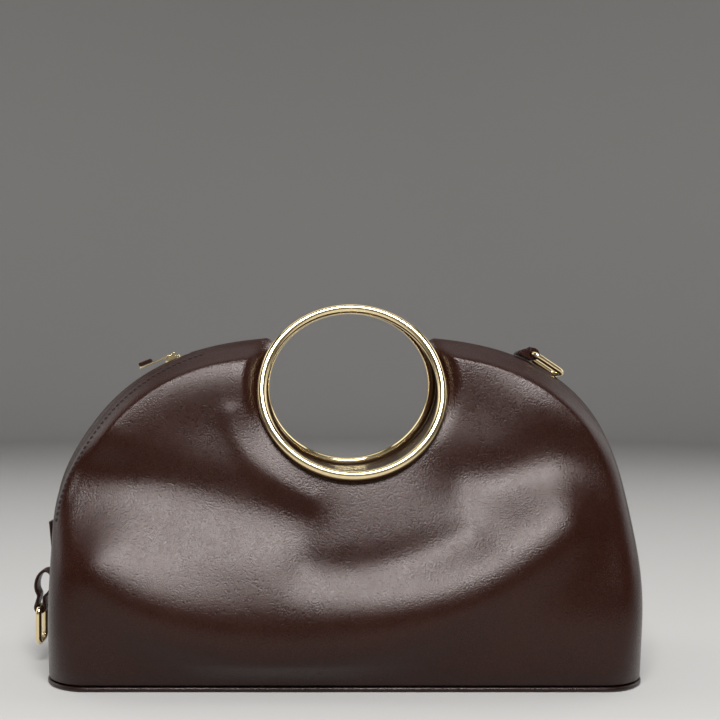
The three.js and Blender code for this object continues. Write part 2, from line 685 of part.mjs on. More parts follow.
// The folded leather tab low on the left side and the ring that hangs in it
function sideStrapRing() {
  const { x, z, acrossRadius, alongRadius } = SIDE_LOBE;
  const { rootTopZ, rootFootZ, tipOut, tipUp } = SIDE_TONGUE;
  const gussetX = (height) => leanAt(height) - halfWidthAt(-1, height) - gussetCrown(height, 0);
  const skin = (height) => gussetX(height) - SIDE_STANDOFF;
  const lobe = (shrink) => new THREE.Shape().absellipse(
    x, z, acrossRadius - shrink, alongRadius - shrink, 0, 2 * Math.PI, false, -SIDE_LOBE_TILT,
  );
  const leg = new THREE.Shape();
  leg.moveTo(skin(SIDE_LEG_TOP_Z), SIDE_LEG_TOP_Z);
  leg.lineTo(skin(SIDE_LEG_TOP_Z) - LOOP_WALL, SIDE_LEG_TOP_Z);
  leg.lineTo(skin(z) - LOOP_WALL, z);
  leg.lineTo(skin(z), z);
  const tongue = new THREE.Shape();
  tongue.moveTo(skin(rootTopZ), rootTopZ);
  tongue.lineTo(SIDE_HINGE.x - tipOut, SIDE_HINGE.z + tipUp);
  tongue.lineTo(SIDE_HINGE.x, SIDE_HINGE.z);
  tongue.lineTo(skin(rootFootZ), rootFootZ);
  const solid = (shape, extra) => toManifold(crosswise(shape, TAB_HALF_WIDTH + extra, 9));
  const whole = solid(leg, 0)
    .add(solid(lobe(0), 0))
    .add(solid(tongue, 0))
    .add(solid(circle(SIDE_HINGE.x, SIDE_HINGE.z, LOOP_OUTER), 0));
  const open = whole
    .subtract(solid(lobe(LOOP_WALL), 1))
    .subtract(solid(circle(SIDE_HINGE.x, SIDE_HINGE.z, LOOP_EYE), 1));
  const tab = named('side_tab', fromManifold(open), leather(BODY_COLOR));
  const ring = strapRing('side_strap_ring');
  ring.rotation.y = Math.PI / 2;
  ring.position.set(SIDE_HINGE.x, 0, SIDE_HINGE.z);
  return [tab, ring];
}

const bag = new THREE.Group();
bag.add(
  panel('front_panel', -1, FRONT_FOLDS),
  panel('back_panel', 1, BACK_FOLDS),
  ...gussets(),
  ringCollar(),
  basePanel(),
  basePiping(),
  ringHandle('front_ring', -1),
  ringHandle('back_ring', 1),
  ...zip(),
  zipPull(),
  rightStrapRing(),
  ...sideStrapRing(),
);

export default bag;
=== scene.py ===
"""Half-moon leather bag with two ring handles: the finished surfaces over its solids, and the studio."""
import math
from typing import NamedTuple

import bmesh
import bpy
import numpy as np
from bpy.props import FloatProperty, FloatVectorProperty, PointerProperty
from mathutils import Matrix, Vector


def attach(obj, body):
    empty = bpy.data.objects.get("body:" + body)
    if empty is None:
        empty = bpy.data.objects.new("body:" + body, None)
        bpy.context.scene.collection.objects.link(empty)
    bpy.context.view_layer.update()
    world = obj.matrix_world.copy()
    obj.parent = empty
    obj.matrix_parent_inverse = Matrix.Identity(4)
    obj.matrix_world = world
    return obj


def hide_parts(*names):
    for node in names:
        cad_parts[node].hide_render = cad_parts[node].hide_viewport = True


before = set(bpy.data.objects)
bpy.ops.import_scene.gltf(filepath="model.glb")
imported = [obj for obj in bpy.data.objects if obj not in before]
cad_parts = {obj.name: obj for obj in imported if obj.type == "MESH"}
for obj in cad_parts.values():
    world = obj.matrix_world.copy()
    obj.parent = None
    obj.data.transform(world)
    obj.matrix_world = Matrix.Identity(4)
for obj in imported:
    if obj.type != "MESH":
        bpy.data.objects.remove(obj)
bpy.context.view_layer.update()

bl_info = {
    "name": "Half-moon ring bag",
    "version": (1, 0, 0),
    "blender": (4, 5, 0),
    "location": "View3D > Sidebar > Bag",
    "description": "Makes the leather, rings, zip and stitches of a half-moon bag over its solids",
    "category": "Object",
}

MM = 0.001
TINY = 1e-12
BODY = "bag"
SEARCH_STEPS = 45
FOLD_LINE_POINTS = 49
SHARP_EDGE = math.radians(50)


class Swell(NamedTuple):
    """A soft swell or hollow of one side of the outline, in millimetres."""
    z: float
    spread: float
    out: float


class Fold(NamedTuple):
    """A fold of the leather along a bent line seen from the front, in millimetres."""
    name: str
    start: tuple
    via: tuple
    end: tuple
    above: float
    below: float
    rise: float


LEFT_SWELL = Swell(z=98, spread=26, out=3.4)
RIGHT_HOLLOW = Swell(z=92, spread=32, out=-2.6)

# Depth of the face from the middle, by height, up to where the leather lies against the rings
LOWER_PROFILE = ((2.9, 56), (12, 59.5), (30, 63), (44, 62.4), (60, 58), (80, 49.8))
RING_SEAT_HEIGHTS = (100, 140, 180.5)

FRONT_FOLDS = (
    Fold("belly ridge", (-122, 60), (-30, -26), (112, 82), 24, 16, 6.5),
    Fold("groove over the ridge", (-18, 62), (20, 58), (62, 76), 10, 12, -2),
    Fold("valley left of the rings", (-135, 106), (-84, 102), (-26, 84), 15, 20, -3.6),
    Fold("valley right of the rings", (64, 104), (88, 102), (110, 116), 16, 20, -3.6),
    Fold("left pouch", (-124, 140), (-98, 162), (-56, 164), 14, 28, 8),
    Fold("right pouch", (60, 174), (98, 171), (126, 140), 14, 30, 8),
    Fold("fold beside the rings", (-60, 138), (-56, 112), (-18, 95), 6, 6, 1),
    Fold("ridge on the right", (106, 140), (110, 112), (102, 84), 18, 26, 2),
)
BACK_FOLDS = (
    Fold("belly ridge", (-122, 82), (0, 0), (122, 82), 11, 16, 4),
    Fold("left pouch", (-104, 144), (-88, 150), (-72, 150), 24, 24, 5.5),
    Fold("right pouch", (72, 152), (86, 154), (100, 148), 24, 24, 5.5),
)
FOLD_CLEARANCE = {"seam": 11 * MM, "ring": 10 * MM, "foot": 14 * MM}


def length(name, words, millimetres):
    """A length that shows in the sidebar."""
    return FloatProperty(name=name, description=words, default=millimetres * MM, unit="LENGTH", precision=5)


def turn(name, words, degrees):
    """An angle that shows in the sidebar."""
    return FloatProperty(name=name, description=words, default=math.radians(degrees), subtype="ANGLE")


def share_of(name, words, value):
    """A share from nothing to all of something."""
    return FloatProperty(name=name, description=words, default=value, min=0, max=1, subtype="FACTOR")


def colour(name, words, value):
    """A colour that shows in the sidebar."""
    return FloatVectorProperty(name=name, description=words, default=value, size=3, min=0, max=1,
                               subtype="COLOR")


def power_of(name, words, value):
    """The power of a curve: 2 is round, and more is squarer."""
    return FloatProperty(name=name, description=words, default=value, min=1)


class BagSizes(bpy.types.PropertyGroup):
    """Sizes of the leather and of its seams."""
    wall: length("Leather", "Thickness of the leather walls", 2)
    gap: length("Gap", "Clearance between sewn pieces", 0.3)
    half_width: length("Half width", "From the middle to the upright sides", 154)
    top_z: length("Height", "Top of the leather above the ground", 180.5)
    shoulder_z: length("Shoulder height", "Where the upright sides begin to bend into the dome", 30)
    dome_power: power_of("Dome squareness", "Power of the dome's curve", 2.96)
    dome_lean: length("Dome lean", "How far the top of the dome lies to the right", 3.8)
    foot_z: length("Foot of the walls", "Height of the lower edge of the walls", 2.9)
    seam_foot: length("Seam depth at the foot", "Half the width of the gusset at its foot", 31)
    seam_top: length("Seam depth at the top", "Half the width of the gusset at the top", 5)
    roll_foot: length("Edge roll at the foot", "Width of the panel's rolled edge at its foot", 24)
    roll_top: length("Edge roll at the top", "Width of the panel's rolled edge at the top", 9)
    roll_power_foot: power_of("Roll squareness at the foot", "Power of the edge roll's curve at its foot", 2)
    roll_power_top: power_of("Roll squareness at the top", "Power of the edge roll's curve at the top", 4)
    gusset_crown: length("Gusset crown", "How far the gusset swells outward", 5)
    turned_edge: length("Turned edge", "Radius of the leather's turned edges at a seam", 1)
    base_thickness: length("Base thickness", "Thickness of the flat base", 2.6)
    base_inset: length("Base inset", "Base inside the feet of the walls", 2.2)
    piping_radius: length("Piping radius", "Radius of the piping round the base", 1.2)
    piping_outset: length("Piping outset", "Piping outside the feet of the walls", -0.6)
    piping_lift: length("Piping lift", "Clearance of the piping above the ground", 0.1)
    tab_half_width: length("Tab half width", "Half the width of the leather tabs", 4.75)
    tab_wall: length("Tab leather", "Thickness of the leather in the tabs", 1.6)
    stitch_pitch: length("Stitch pitch", "Distance from stitch to stitch", 3.1)
    stitch_length: length("Stitch length", "Length of one stitch", 2.3)
    thread_radius: length("Thread radius", "Radius of the sewing thread", 0.55)
    stitch_inset: length("Stitch inset", "Distance of the stitches from the seam", 5)


class BagHardware(bpy.types.PropertyGroup):
    """Sizes of the rings and of the zip."""
    ring_x: length("Ring across", "Middle of the ring handles to the right of the base's middle", 4.7)
    ring_z: length("Ring height", "Middle of the ring handles above the ground", 151.2)
    ring_radius: length("Ring radius", "Radius of the ring handles to the middle of the wire", 48.2)
    ring_wire: length("Ring wire", "Radius of the ring handles' wire", 2.65)
    ring_lean: turn("Ring lean", "How far each ring handle leans to the other", 23.5)
    ring_half_span: length("Ring half span", "Half the distance between the ring handles' middles", 22.5)
    notch_radius: length("Notch radius", "Radius of the leather's edge behind the rings", 50)
    notch_end: length("Notch end", "Width of the leather left where the notch ends", 5)
    collar_inner: length("Collar inner radius", "Inner radius of the leather trough between the rings", 50.2)
    collar_outer: length("Collar outer radius", "Outer radius of the leather trough between the rings", 52)
    zip_top_x: length("Zip top", "Where the zip begins on the dome, across", -84)
    zip_foot_z: length("Zip foot", "Height at which the zip ends", 84)
    slot_half: length("Zip slot", "Half the width of the slot over the zip", 4)
    tape_sunk: length("Tape depth", "Depth of the zip's tape below the gusset's face", 3.3)
    tape_half: length("Tape half width", "Half the width of the zip's tape", 5.2)
    tape_thickness: length("Tape thickness", "Thickness of the zip's tape", 1)
    tape_overlap: length("Tape overlap", "How far the tape runs past the slot", 3)
    coil_half: length("Coil half width", "Half the width of the zip's coil", 2.1)
    coil_height: length("Coil height", "Height of the zip's coil", 1.5)
    coil_pitch: length("Coil pitch", "Distance from tooth to tooth of the coil", 1.25)
    strap_wire: length("Strap ring wire", "Radius of the strap rings' wire", 1.6)
    strap_ring_length: length("Strap ring length", "From bar to bar of a strap ring", 18.6)
    strap_ring_half: length("Strap ring half width", "Half the width of a strap ring", 7)
    strap_ring_corner: length("Strap ring corner", "Radius of a strap ring's corners", 3.2)
    loop_clearance: length("Loop clearance", "Clearance of a strap ring's bar in its tab", 0.35)
    right_hinge_x: length("Right ring", "Where the right strap ring is held, across", 102)
    right_roll: turn("Right ring roll", "How far the right strap ring rolls to the front", -6)
    side_hinge_x: length("Side ring across", "Where the side strap ring is held, across", -166.5)
    side_hinge_z: length("Side ring height", "Where the side strap ring is held, above the ground", 30.5)
    side_top_z: length("Side tab top", "Upper end of the side tab", 78)
    side_standoff: length("Side tab gap", "Clearance between the side tab and the gusset", 0.5)
    lobe_x: length("Side fold across", "Middle of the side tab's open fold, across", -164.4)
    lobe_z: length("Side fold height", "Middle of the side tab's open fold, above the ground", 43.8)
    lobe_across: length("Side fold half width", "Half the width of the side tab's open fold", 5.3)
    lobe_along: length("Side fold half height", "Half the height of the side tab's open fold", 8)
    lobe_tilt: turn("Side fold tilt", "How far the side tab's open fold leans to the bag", 12)


class BagFinish(bpy.types.PropertyGroup):
    """Colours and grain of the finishes."""
    leather: colour("Leather", "Colour of the body's leather", (0.017, 0.0037, 0.0018))
    leather_light: colour("Light leather", "Colour of the leather where it is stretched",
                          (0.027, 0.0067, 0.0033))
    trim: colour("Trim", "Colour of the base and its piping", (0.016, 0.0075, 0.006))
    thread: colour("Thread", "Colour of the sewing thread", (0.011, 0.006, 0.005))
    gold: colour("Gold", "Colour of the rings", (0.88, 0.72, 0.42))
    zip_cloth: colour("Zip cloth", "Colour of the zip's tape and coil", (0.013, 0.008, 0.007))
    floor: colour("Floor", "Colour of the studio floor", (0.56, 0.55, 0.535))
    grain: length("Grain", "Size of the leather's grain", 0.85)
    leather_gloss: share_of("Leather roughness", "Roughness of the leather", 0.25)
    gold_gloss: share_of("Gold roughness", "Roughness of the rings", 0.11)


def last_where(holds, low, high):
    """The last value between low and high at which a test still holds, for each element."""
    held = np.array(low, float)
    failed = np.array(high, float)
    for _ in range(SEARCH_STEPS):
        middle = (held + failed) / 2
        good = holds(middle)
        held = np.where(good, middle, held)
        failed = np.where(good, failed, middle)
    return held


def smooth(value, limit):
    """0 below nothing, 1 above the limit, and an even curve between."""
    share = np.clip(value / limit, 0, 1)
    return share * share * (3 - 2 * share)


def eased(value, limit):
    """0 at nothing and 1 above the limit, rising at once and then flattening out."""
    return np.sin(np.pi / 2 * np.clip(value / limit, 0, 1))


class Shape:
    """The bag's outline, faces and folds, worked out from its sizes in metres."""

    def __init__(self, context):
        self.s = context.scene.bag_sizes
        self.h = context.scene.bag_hardware
        self.tan_lean = math.tan(self.h.ring_lean)
        self.cos_lean = math.cos(self.h.ring_lean)

    def height_share(self, z):
        return np.clip(z / self.s.top_z, 0, 1)

    def graded(self, foot, top, z):
        """A size that changes evenly from the foot to the top."""
        return foot + (top - foot) * self.height_share(z)

    def seam_depth(self, z):
        return self.graded(self.s.seam_foot, self.s.seam_top, z)

    def dome_rise(self, z):
        return np.maximum(0, z - self.s.shoulder_z) / (self.s.top_z - self.s.shoulder_z)

    def lean(self, z):
        return self.s.dome_lean * self.dome_rise(z)

    def half_width(self, x, z):
        def drift(side):
            return side.out * MM * np.exp(-(((z - side.z * MM) / (side.spread * MM)) ** 2))
        return self.s.half_width + np.where(x > 0, drift(RIGHT_HOLLOW), drift(LEFT_SWELL))

    def share(self, x, z):
        """1 on the dome's outline, 0 in the middle of its foot."""
        power = self.s.dome_power
        across = np.abs(x - self.lean(z)) / self.half_width(x, z)
        return (across ** power + self.dome_rise(z) ** power) ** (1 / power)

    def inset(self, x, z):
        """Distance to the outline, measured away from the middle of the shoulder line."""
        share = np.maximum(self.share(x, z), TINY)
        reach = np.hypot(x - self.lean(z), np.maximum(0, z - self.s.shoulder_z))
        return np.where(share <= TINY, self.s.half_width, np.maximum(0, reach * (1 / share - 1)))

    def ring_inset(self, x, z):
        """Distance from the ring's wire, seen from the front."""
        flattened = (z - self.h.ring_z) / self.cos_lean
        return np.maximum(0, np.hypot(x - self.h.ring_x, flattened) - self.h.notch_radius)

    def ring_seat(self, z):
        """How far out the leather lies against a leaning ring."""
        middle = self.h.ring_half_span - (z - self.h.ring_z) * self.tan_lean
        return middle - (self.h.ring_wire + self.s.gap) / self.cos_lean

    def face_depth(self, z):
        """Depth of the face at a height, on a smooth curve through the rows of the profile."""
        heights = np.array([row[0] for row in LOWER_PROFILE] + list(RING_SEAT_HEIGHTS)) * MM
        seats = self.ring_seat(np.array(RING_SEAT_HEIGHTS) * MM)
        depths = np.concatenate([np.array([row[1] for row in LOWER_PROFILE]) * MM, seats])
        last = len(heights) - 1
        after = np.minimum(np.arange(last + 1) + 1, last)
        before = np.maximum(np.arange(last + 1) - 1, 0)
        slopes = (depths[after] - depths[before]) / (heights[after] - heights[before])
        low = np.searchsorted(heights[1:-1], z, side="left")
        span = heights[low + 1] - heights[low]
        share = np.clip((z - heights[low]) / span, 0, 1)
        bend = share * share * (3 - 2 * share)
        ease = share * (1 - share) * span
        return (depths[low] + (depths[low + 1] - depths[low]) * bend
                + ease * ((1 - share) * slopes[low] - share * slopes[low + 1]))

    def fold_rise(self, folds, x, z):
        """Height of the folds at points seen from the front."""
        rise = np.zeros_like(x)
        for fold in folds:
            along = np.linspace(0, 1, FOLD_LINE_POINTS)[:, None]
            start, via, end = (np.array(point) * MM for point in (fold.start, fold.via, fold.end))
            line = (1 - along) ** 2 * start + 2 * along * (1 - along) * via + along ** 2 * end
            nearest = np.full(x.shape, np.inf)
            upper = np.zeros_like(x)
            for near, far in zip(line[:-1], line[1:]):
                run = far - near
                away = np.stack([x - near[0], z - near[1]], -1)
                place = np.clip((away @ run) / (run @ run), 0, 1)
                offset = away - place[..., None] * run
                distance = np.hypot(offset[..., 0], offset[..., 1])
                closer = distance < nearest
                beside = (run[0] * offset[..., 1] - run[1] * offset[..., 0]) / np.hypot(*run)
                upper = np.where(closer, 0.5 + 0.5 * beside / np.maximum(distance, TINY), upper)
                nearest = np.where(closer, distance, nearest)
            spread = (fold.below + (fold.above - fold.below) * upper) * MM
            rise += fold.rise * MM * np.exp(-((nearest / spread) ** 2))
        free = (smooth(self.inset(x, z), FOLD_CLEARANCE["seam"])
                * eased(self.ring_inset(x, z), FOLD_CLEARANCE["ring"])
                * smooth(z - self.s.foot_z, FOLD_CLEARANCE["foot"]))
        return rise * free

    def panel_depth(self, folds, x, z):
        """How far a panel stands out from the middle plane."""
        seam = self.seam_depth(z)
        roll = self.graded(self.s.roll_foot, self.s.roll_top, z)
        inset = np.minimum(self.inset(x, z), roll)
        power = self.graded(self.s.roll_power_foot, self.s.roll_power_top, z)
        turned = np.maximum(0, 1 - (1 - inset / roll) ** power) ** (1 / power)
        return seam + (self.face_depth(z) - seam) * turned + self.fold_rise(folds, x, z)

    def ray_point(self, angle, reach):
        """A point on a ray from the ring's centre: angle 0 points down, positive angles to the right."""
        return self.h.ring_x + reach * np.sin(angle), self.h.ring_z - reach * np.cos(angle)

    def ray_angle(self, x, z):
        return np.arctan2(x - self.h.ring_x, self.h.ring_z - z)

    def outline_reach(self, angle):
        angle = np.asarray(angle, float)

        def inside(reach):
            x, z = self.ray_point(angle, reach)
            return (self.share(x, z) < 1) & (z > self.s.foot_z)
        return last_where(inside, np.zeros(angle.shape), np.full(angle.shape, 2 * self.s.half_width))

    def outline_points(self, angles):
        return self.ray_point(angles, self.outline_reach(angles))

    def ellipse_reach(self, angle, radius):
        return radius / np.hypot(np.sin(angle), np.cos(angle) / self.cos_lean)

    def notch_end_angle(self, sign):
        def wide(angle):
            band = self.outline_reach(sign * angle) - self.ellipse_reach(sign * angle, self.h.notch_radius)
            return band > self.h.notch_end
        return sign * float(last_where(wide, math.pi / 2, math.pi))

    def foot_edge_x(self, sign):
        return float(self.lean(self.s.foot_z)) + sign * self.s.half_width

    def dome_angles(self, sign, steps):
        """Angles from the foot's corner up one side to the end of the notch."""
        corner = float(self.ray_angle(self.foot_edge_x(sign), self.s.foot_z))
        return np.linspace(corner, self.notch_end_angle(sign), steps + 1)

    def foot_angles(self, steps):
        """Angles along the foot from the left corner to the right, closer together round the corners."""
        across = -np.cos(np.pi * np.arange(steps + 1) / steps)
        return self.ray_angle(float(self.lean(self.s.foot_z)) + self.s.half_width * across, self.s.foot_z)

    def dome_height(self, x):
        """Height of the dome at a place across the bag."""
        return float(last_where(lambda z: self.share(x, z) < 1, self.s.shoulder_z, self.s.top_z))

    def zip_angles(self, extra, steps):
        """Angles along the zip, lengthened at both ends by an amount."""
        top_x = self.h.zip_top_x + extra
        foot = float(self.ray_angle(self.foot_edge_x(-1), self.h.zip_foot_z - extra))
        top = float(self.ray_angle(top_x, self.dome_height(top_x)))
        return np.linspace(foot, top, steps + 1)

    def outward(self, x, z):
        """Direction out of the bag at a point of the outline, as X and Z."""
        probe = 0.01 * MM
        sideways = self.share(x + probe, z) - self.share(x - probe, z)
        upward = self.share(x, z + probe) - self.share(x, z - probe)
        size = np.hypot(sideways, upward)
        return sideways / size, upward / size

    def crown(self, z, across):
        """How far the gusset swells outward: most at half its height, nothing at its seams."""
        share = self.height_share(z)
        return self.s.gusset_crown * 4 * share * (1 - share) * (1 - across * across)

    def strip_points(self, angles, aside, sunk):
        """Points that follow the outline, for each angle and each distance from the middle plane."""
        x, z = self.outline_points(angles)
        out_x, out_z = self.outward(x, z)
        lift = self.crown(z[:, None], aside / self.seam_depth(z)[:, None]) - sunk
        return np.stack([x[:, None] + lift * out_x[:, None], aside, z[:, None] + lift * out_z[:, None]], -1)

    def dome_frame(self, from_x, to_x, roll):
        """Origin and axes of a frame whose X runs down the dome and whose Z faces out of the bag."""
        start = np.array([from_x, 0, self.dome_height(from_x)])
        down = np.array([to_x, 0, self.dome_height(to_x)]) - start
        down /= np.linalg.norm(down)
        out = np.array([abs(down[2]) * np.sign(down[0]), 0, abs(down[0])])
        aside = np.cross(out, down)
        axes = np.stack([down, aside * math.cos(roll) + out * math.sin(roll),
                         out * math.cos(roll) - aside * math.sin(roll)])
        return start + out * float(self.crown(start[2], 0)), axes


def units(vectors):
    """Vectors brought to a length of one."""
    return vectors / np.maximum(np.linalg.norm(vectors, axis=-1, keepdims=True), TINY)


def grid_normals(grid):
    """Unit normals of a grid of points."""
    along = np.gradient(grid, axis=0)
    across = np.gradient(grid, axis=1)
    return units(np.cross(across, along))


def wall_faces(columns, rows, keep=None):
    """Corners of a closed wall's faces: an outer grid, an inner grid and a rim round what is kept."""
    if keep is None:
        keep = np.ones((columns - 1, rows - 1), bool)
    number = np.arange(columns * rows).reshape(columns, rows)
    cell = [number[:-1, :-1], number[:-1, 1:], number[1:, 1:], number[1:, :-1]]
    outer = np.stack([corner[keep] for corner in cell], -1)
    inner = outer[:, ::-1] + columns * rows
    held = np.zeros((columns + 1, rows + 1), bool)
    held[1:-1, 1:-1] = keep
    across = held[1:-1, :-1] != held[1:-1, 1:]
    along = held[:-1, 1:-1] != held[1:, 1:-1]
    rims = []
    for column, row in np.argwhere(across):
        ends = (number[column, row], number[column + 1, row])
        rims.append(ends if held[column + 1, row] else ends[::-1])
    for column, row in np.argwhere(along):
        ends = (number[column, row + 1], number[column, row])
        rims.append(ends if held[column, row + 1] else ends[::-1])
    rim = np.array([(b, a, a + columns * rows, b + columns * rows) for a, b in rims])
    return np.concatenate([outer, inner, rim])


def loop_faces(columns, rows, closed):
    """Corners of the faces of a tube: each column is a closed loop, and the ends are closed or joined."""
    number = np.arange(columns * rows).reshape(columns, rows)
    if closed:
        number = np.concatenate([number, number[:1]])
    beside = np.roll(number, -1, axis=1)
    faces = np.stack([number[:-1], beside[:-1], beside[1:], number[1:]], -1).reshape(-1, 4).tolist()
    if not closed:
        faces += [number[0][::-1].tolist(), number[-1].tolist()]
    return faces


def make_object(name, points, faces, material):
    """A mesh object with its faces outward, smooth except at sharp edges."""
    points = np.asarray(points, float).reshape(-1, 3)
    mesh = bpy.data.meshes.new(name)
    mesh.from_pydata(points.tolist(), [], [list(face) for face in faces])
    mesh.calc_loop_triangles()
    corners = np.empty(len(mesh.loop_triangles) * 3, np.int32)
    mesh.loop_triangles.foreach_get("vertices", corners)
    first, second, third = points[corners].reshape(-1, 3, 3).transpose(1, 0, 2)
    if np.sum(first * np.cross(second, third)) < 0:
        mesh.flip_normals()
    mesh.update()
    mesh.shade_smooth()
    mesh.set_sharp_from_angle(angle=SHARP_EDGE)
    mesh.materials.append(material)
    obj = bpy.data.objects.new(name, mesh)
    bpy.context.scene.collection.objects.link(obj)
    return obj


def wall_object(name, outer, inner, material, keep=None):
    """A closed wall between an outer and an inner grid of points."""
    columns, rows = outer.shape[:2]
    points = np.concatenate([outer.reshape(-1, 3), inner.reshape(-1, 3)])
    return make_object(name, points, wall_faces(columns, rows, keep), material)


def store_edge(obj, values=None):
    """Stores how near each point of a leather piece is to a worn edge, from 0 to 1, for its material."""
    layer = obj.data.attributes.new("edge", "FLOAT", "POINT")
    if values is None:
        values = np.zeros(len(obj.data.vertices))
    layer.data.foreach_set("value", np.asarray(values, np.float32).ravel())


def place(obj, body, slot, *nodes):
    """Ties a finished piece to its body and hides the solids that it stands for; its slot is not used."""
    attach(obj, body)
    if nodes:
        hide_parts(*nodes)
    return obj


def applied(obj):
    """Makes an object's modifiers part of its mesh."""
    shown = obj.evaluated_get(bpy.context.evaluated_depsgraph_get())
    mesh = bpy.data.meshes.new_from_object(shown)
    obj.modifiers.clear()
    old = obj.data
    obj.data = mesh
    bpy.data.meshes.remove(old)
    return obj


# Radius to which the edges of a copied solid are rounded
ROUNDED_EDGES = {"right_tab": 0.5 * MM, "zip_slider": 0.3 * MM, "zip_puller": 0.25 * MM, "pull_tab": 0.4 * MM}
# Distance at which points merge, and the bends that count as flat, as an edge to round and as sharp
SOFTENING = {
    "merge": 0.004 * MM, "segments": 3,
    "flat": math.radians(2), "bend": math.radians(38), "sharp": math.radians(40),
}


def softened_solid(name, node, material):
    """A copy of a solid with its edges rounded."""
    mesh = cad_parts[node].data.copy()
    mesh.name = name
    work = bmesh.new()
    work.from_mesh(mesh)
    bmesh.ops.remove_doubles(work, verts=work.verts, dist=SOFTENING["merge"])
    bmesh.ops.dissolve_limit(work, angle_limit=SOFTENING["flat"], verts=work.verts, edges=work.edges)
    work.to_mesh(mesh)
    work.free()
    mesh.materials.clear()
    mesh.materials.append(material)
    obj = bpy.data.objects.new(name, mesh)
    bpy.context.scene.collection.objects.link(obj)
    bevel = obj.modifiers.new("Edges", "BEVEL")
    bevel.width = ROUNDED_EDGES[node]
    bevel.segments = SOFTENING["segments"]
    bevel.limit_method = "ANGLE"
    bevel.angle_limit = SOFTENING["bend"]
    applied(obj)
    obj.data.shade_smooth()
    obj.data.set_sharp_from_angle(angle=SOFTENING["sharp"])
    return obj


class Flow:
    """A socket of a node tree: arithmetic on it adds Math nodes, and node() adds any other kind."""

    def __init__(self, tree, socket=None):
        self.tree = tree
        self.socket = socket

    def node(self, kind, settings=None, values=None, output=0):
        """Adds a node, with its settings first and then the values or links of its sockets."""
        made = self.tree.nodes.new(kind)
        for name, value in (settings or {}).items():
            setattr(made, name, value)
        for key, value in (values or {}).items():
            if isinstance(value, Flow):
                self.tree.links.new(value.socket, made.inputs[key])
            else:
                made.inputs[key].default_value = value
        return Flow(self.tree, made.outputs[output]) if made.outputs else made

    def other(self, name):
        """Another output of the same node."""
        return Flow(self.tree, self.socket.node.outputs[name])

    def math(self, operation, *others):
        values = {index: value for index, value in enumerate((self, *others))}
        return self.node("ShaderNodeMath", {"operation": operation}, values)

    def _swapped(self, operation, other):
        return self.node("ShaderNodeMath", {"operation": operation}, {0: other, 1: self})

    def __add__(self, other):
        return self.math("ADD", other)

    def __sub__(self, other):
        return self.math("SUBTRACT", other)

    def __mul__(self, other):
        return self.math("MULTIPLY", other)

    def __radd__(self, other):
        return self._swapped("ADD", other)

    def __rsub__(self, other):
        return self._swapped("SUBTRACT", other)

    def __rmul__(self, other):
        return self._swapped("MULTIPLY", other)

    def clamped(self, low, high):
        return self.math("MAXIMUM", low).math("MINIMUM", high)


def new_material(name):
    """An empty material, the start of its node tree and its Object coordinates."""
    material = bpy.data.materials.new(name)
    material.use_nodes = True
    material.node_tree.nodes.clear()
    flow = Flow(material.node_tree)
    return material, flow, flow.node("ShaderNodeTexCoord", output="Object")


def finish_material(flow, values):
    """Joins a surface shader to the material's output."""
    shader = flow.node("ShaderNodeBsdfPrincipled", None, values)
    flow.node("ShaderNodeOutputMaterial", None, {"Surface": shader})


def noise(flow, place_at, scale, detail=2.0):
    """Noise from 0 to 1 with a scale in features per metre."""
    values = {"Vector": place_at, "Scale": scale, "Detail": detail, "Roughness": 0.5}
    return flow.node("ShaderNodeTexNoise", {"normalize": True}, values)


def mixed(flow, factor, first, second):
    """A colour between two others."""
    settings = {"data_type": "RGBA", "clamp_factor": True}
    return flow.node("ShaderNodeMix", settings, {0: factor, 6: first, 7: second}, output=2)


def rgba(value, by=1.0):
    return (*(min(1.0, part * by) for part in value), 1.0)


def bumped(flow, height, strength, depth):
    """A normal bent by a height, with its depth in millimetres."""
    return flow.node("ShaderNodeBump", None, {"Strength": strength, "Distance": depth * MM, "Height": height})


# Sizes of the finishes' patterns, in features for each metre
PATTERN = {
    "clouds": 17, "blotches": 90, "patches": 60, "hairlines": 900, "twist": 2600, "fluff": 1500, "fibre": 300,
}
# Radians of the zip tape's weave for each metre
WEAVE_TURNS = 7000


def leather_material(name, finish, dark, light):
    """Smooth dyed leather: pores and fine creases, cloudy colour, and a soft polish where it is handled."""
    material, flow, coords = new_material(name)
    clouds = noise(flow, coords, PATTERN["clouds"], 3)
    blotches = noise(flow, coords, PATTERN["blotches"], 3)
    pores = flow.node("ShaderNodeTexVoronoi", {"feature": "SMOOTH_F1"},
                      {"Vector": coords, "Scale": 1 / finish.grain, "Smoothness": 0.4, "Randomness": 1.0})
    fine = noise(flow, coords, 2.6 / finish.grain)
    edge = flow.node("ShaderNodeAttribute", {"attribute_name": "edge"}, output=2)
    tone = ((clouds - 0.5) * 1.3 + (blotches - 0.5) * 0.5 + 0.45 - edge * 0.35).clamped(0, 1)
    dyed = mixed(flow, tone, rgba(dark), rgba(light))
    pored = mixed(flow, ((pores - 0.45) * 0.9).clamped(0, 0.35), dyed, rgba(dark, 0.55))
    rough = finish.leather_gloss + (blotches - 0.5) * 0.10 + (fine - 0.5) * 0.30 + edge * 0.05
    height = pores * -0.7 + fine * 0.5 + blotches * 0.3
    finish_material(flow, {
        "Base Color": pored, "Roughness": rough.clamped(0.15, 0.8), "Normal": bumped(flow, height, 0.7, 0.19),
        "Specular IOR Level": 0.38, "IOR": 1.46, "Specular Tint": (1.0, 0.92, 0.89, 1.0),
    })
    return material


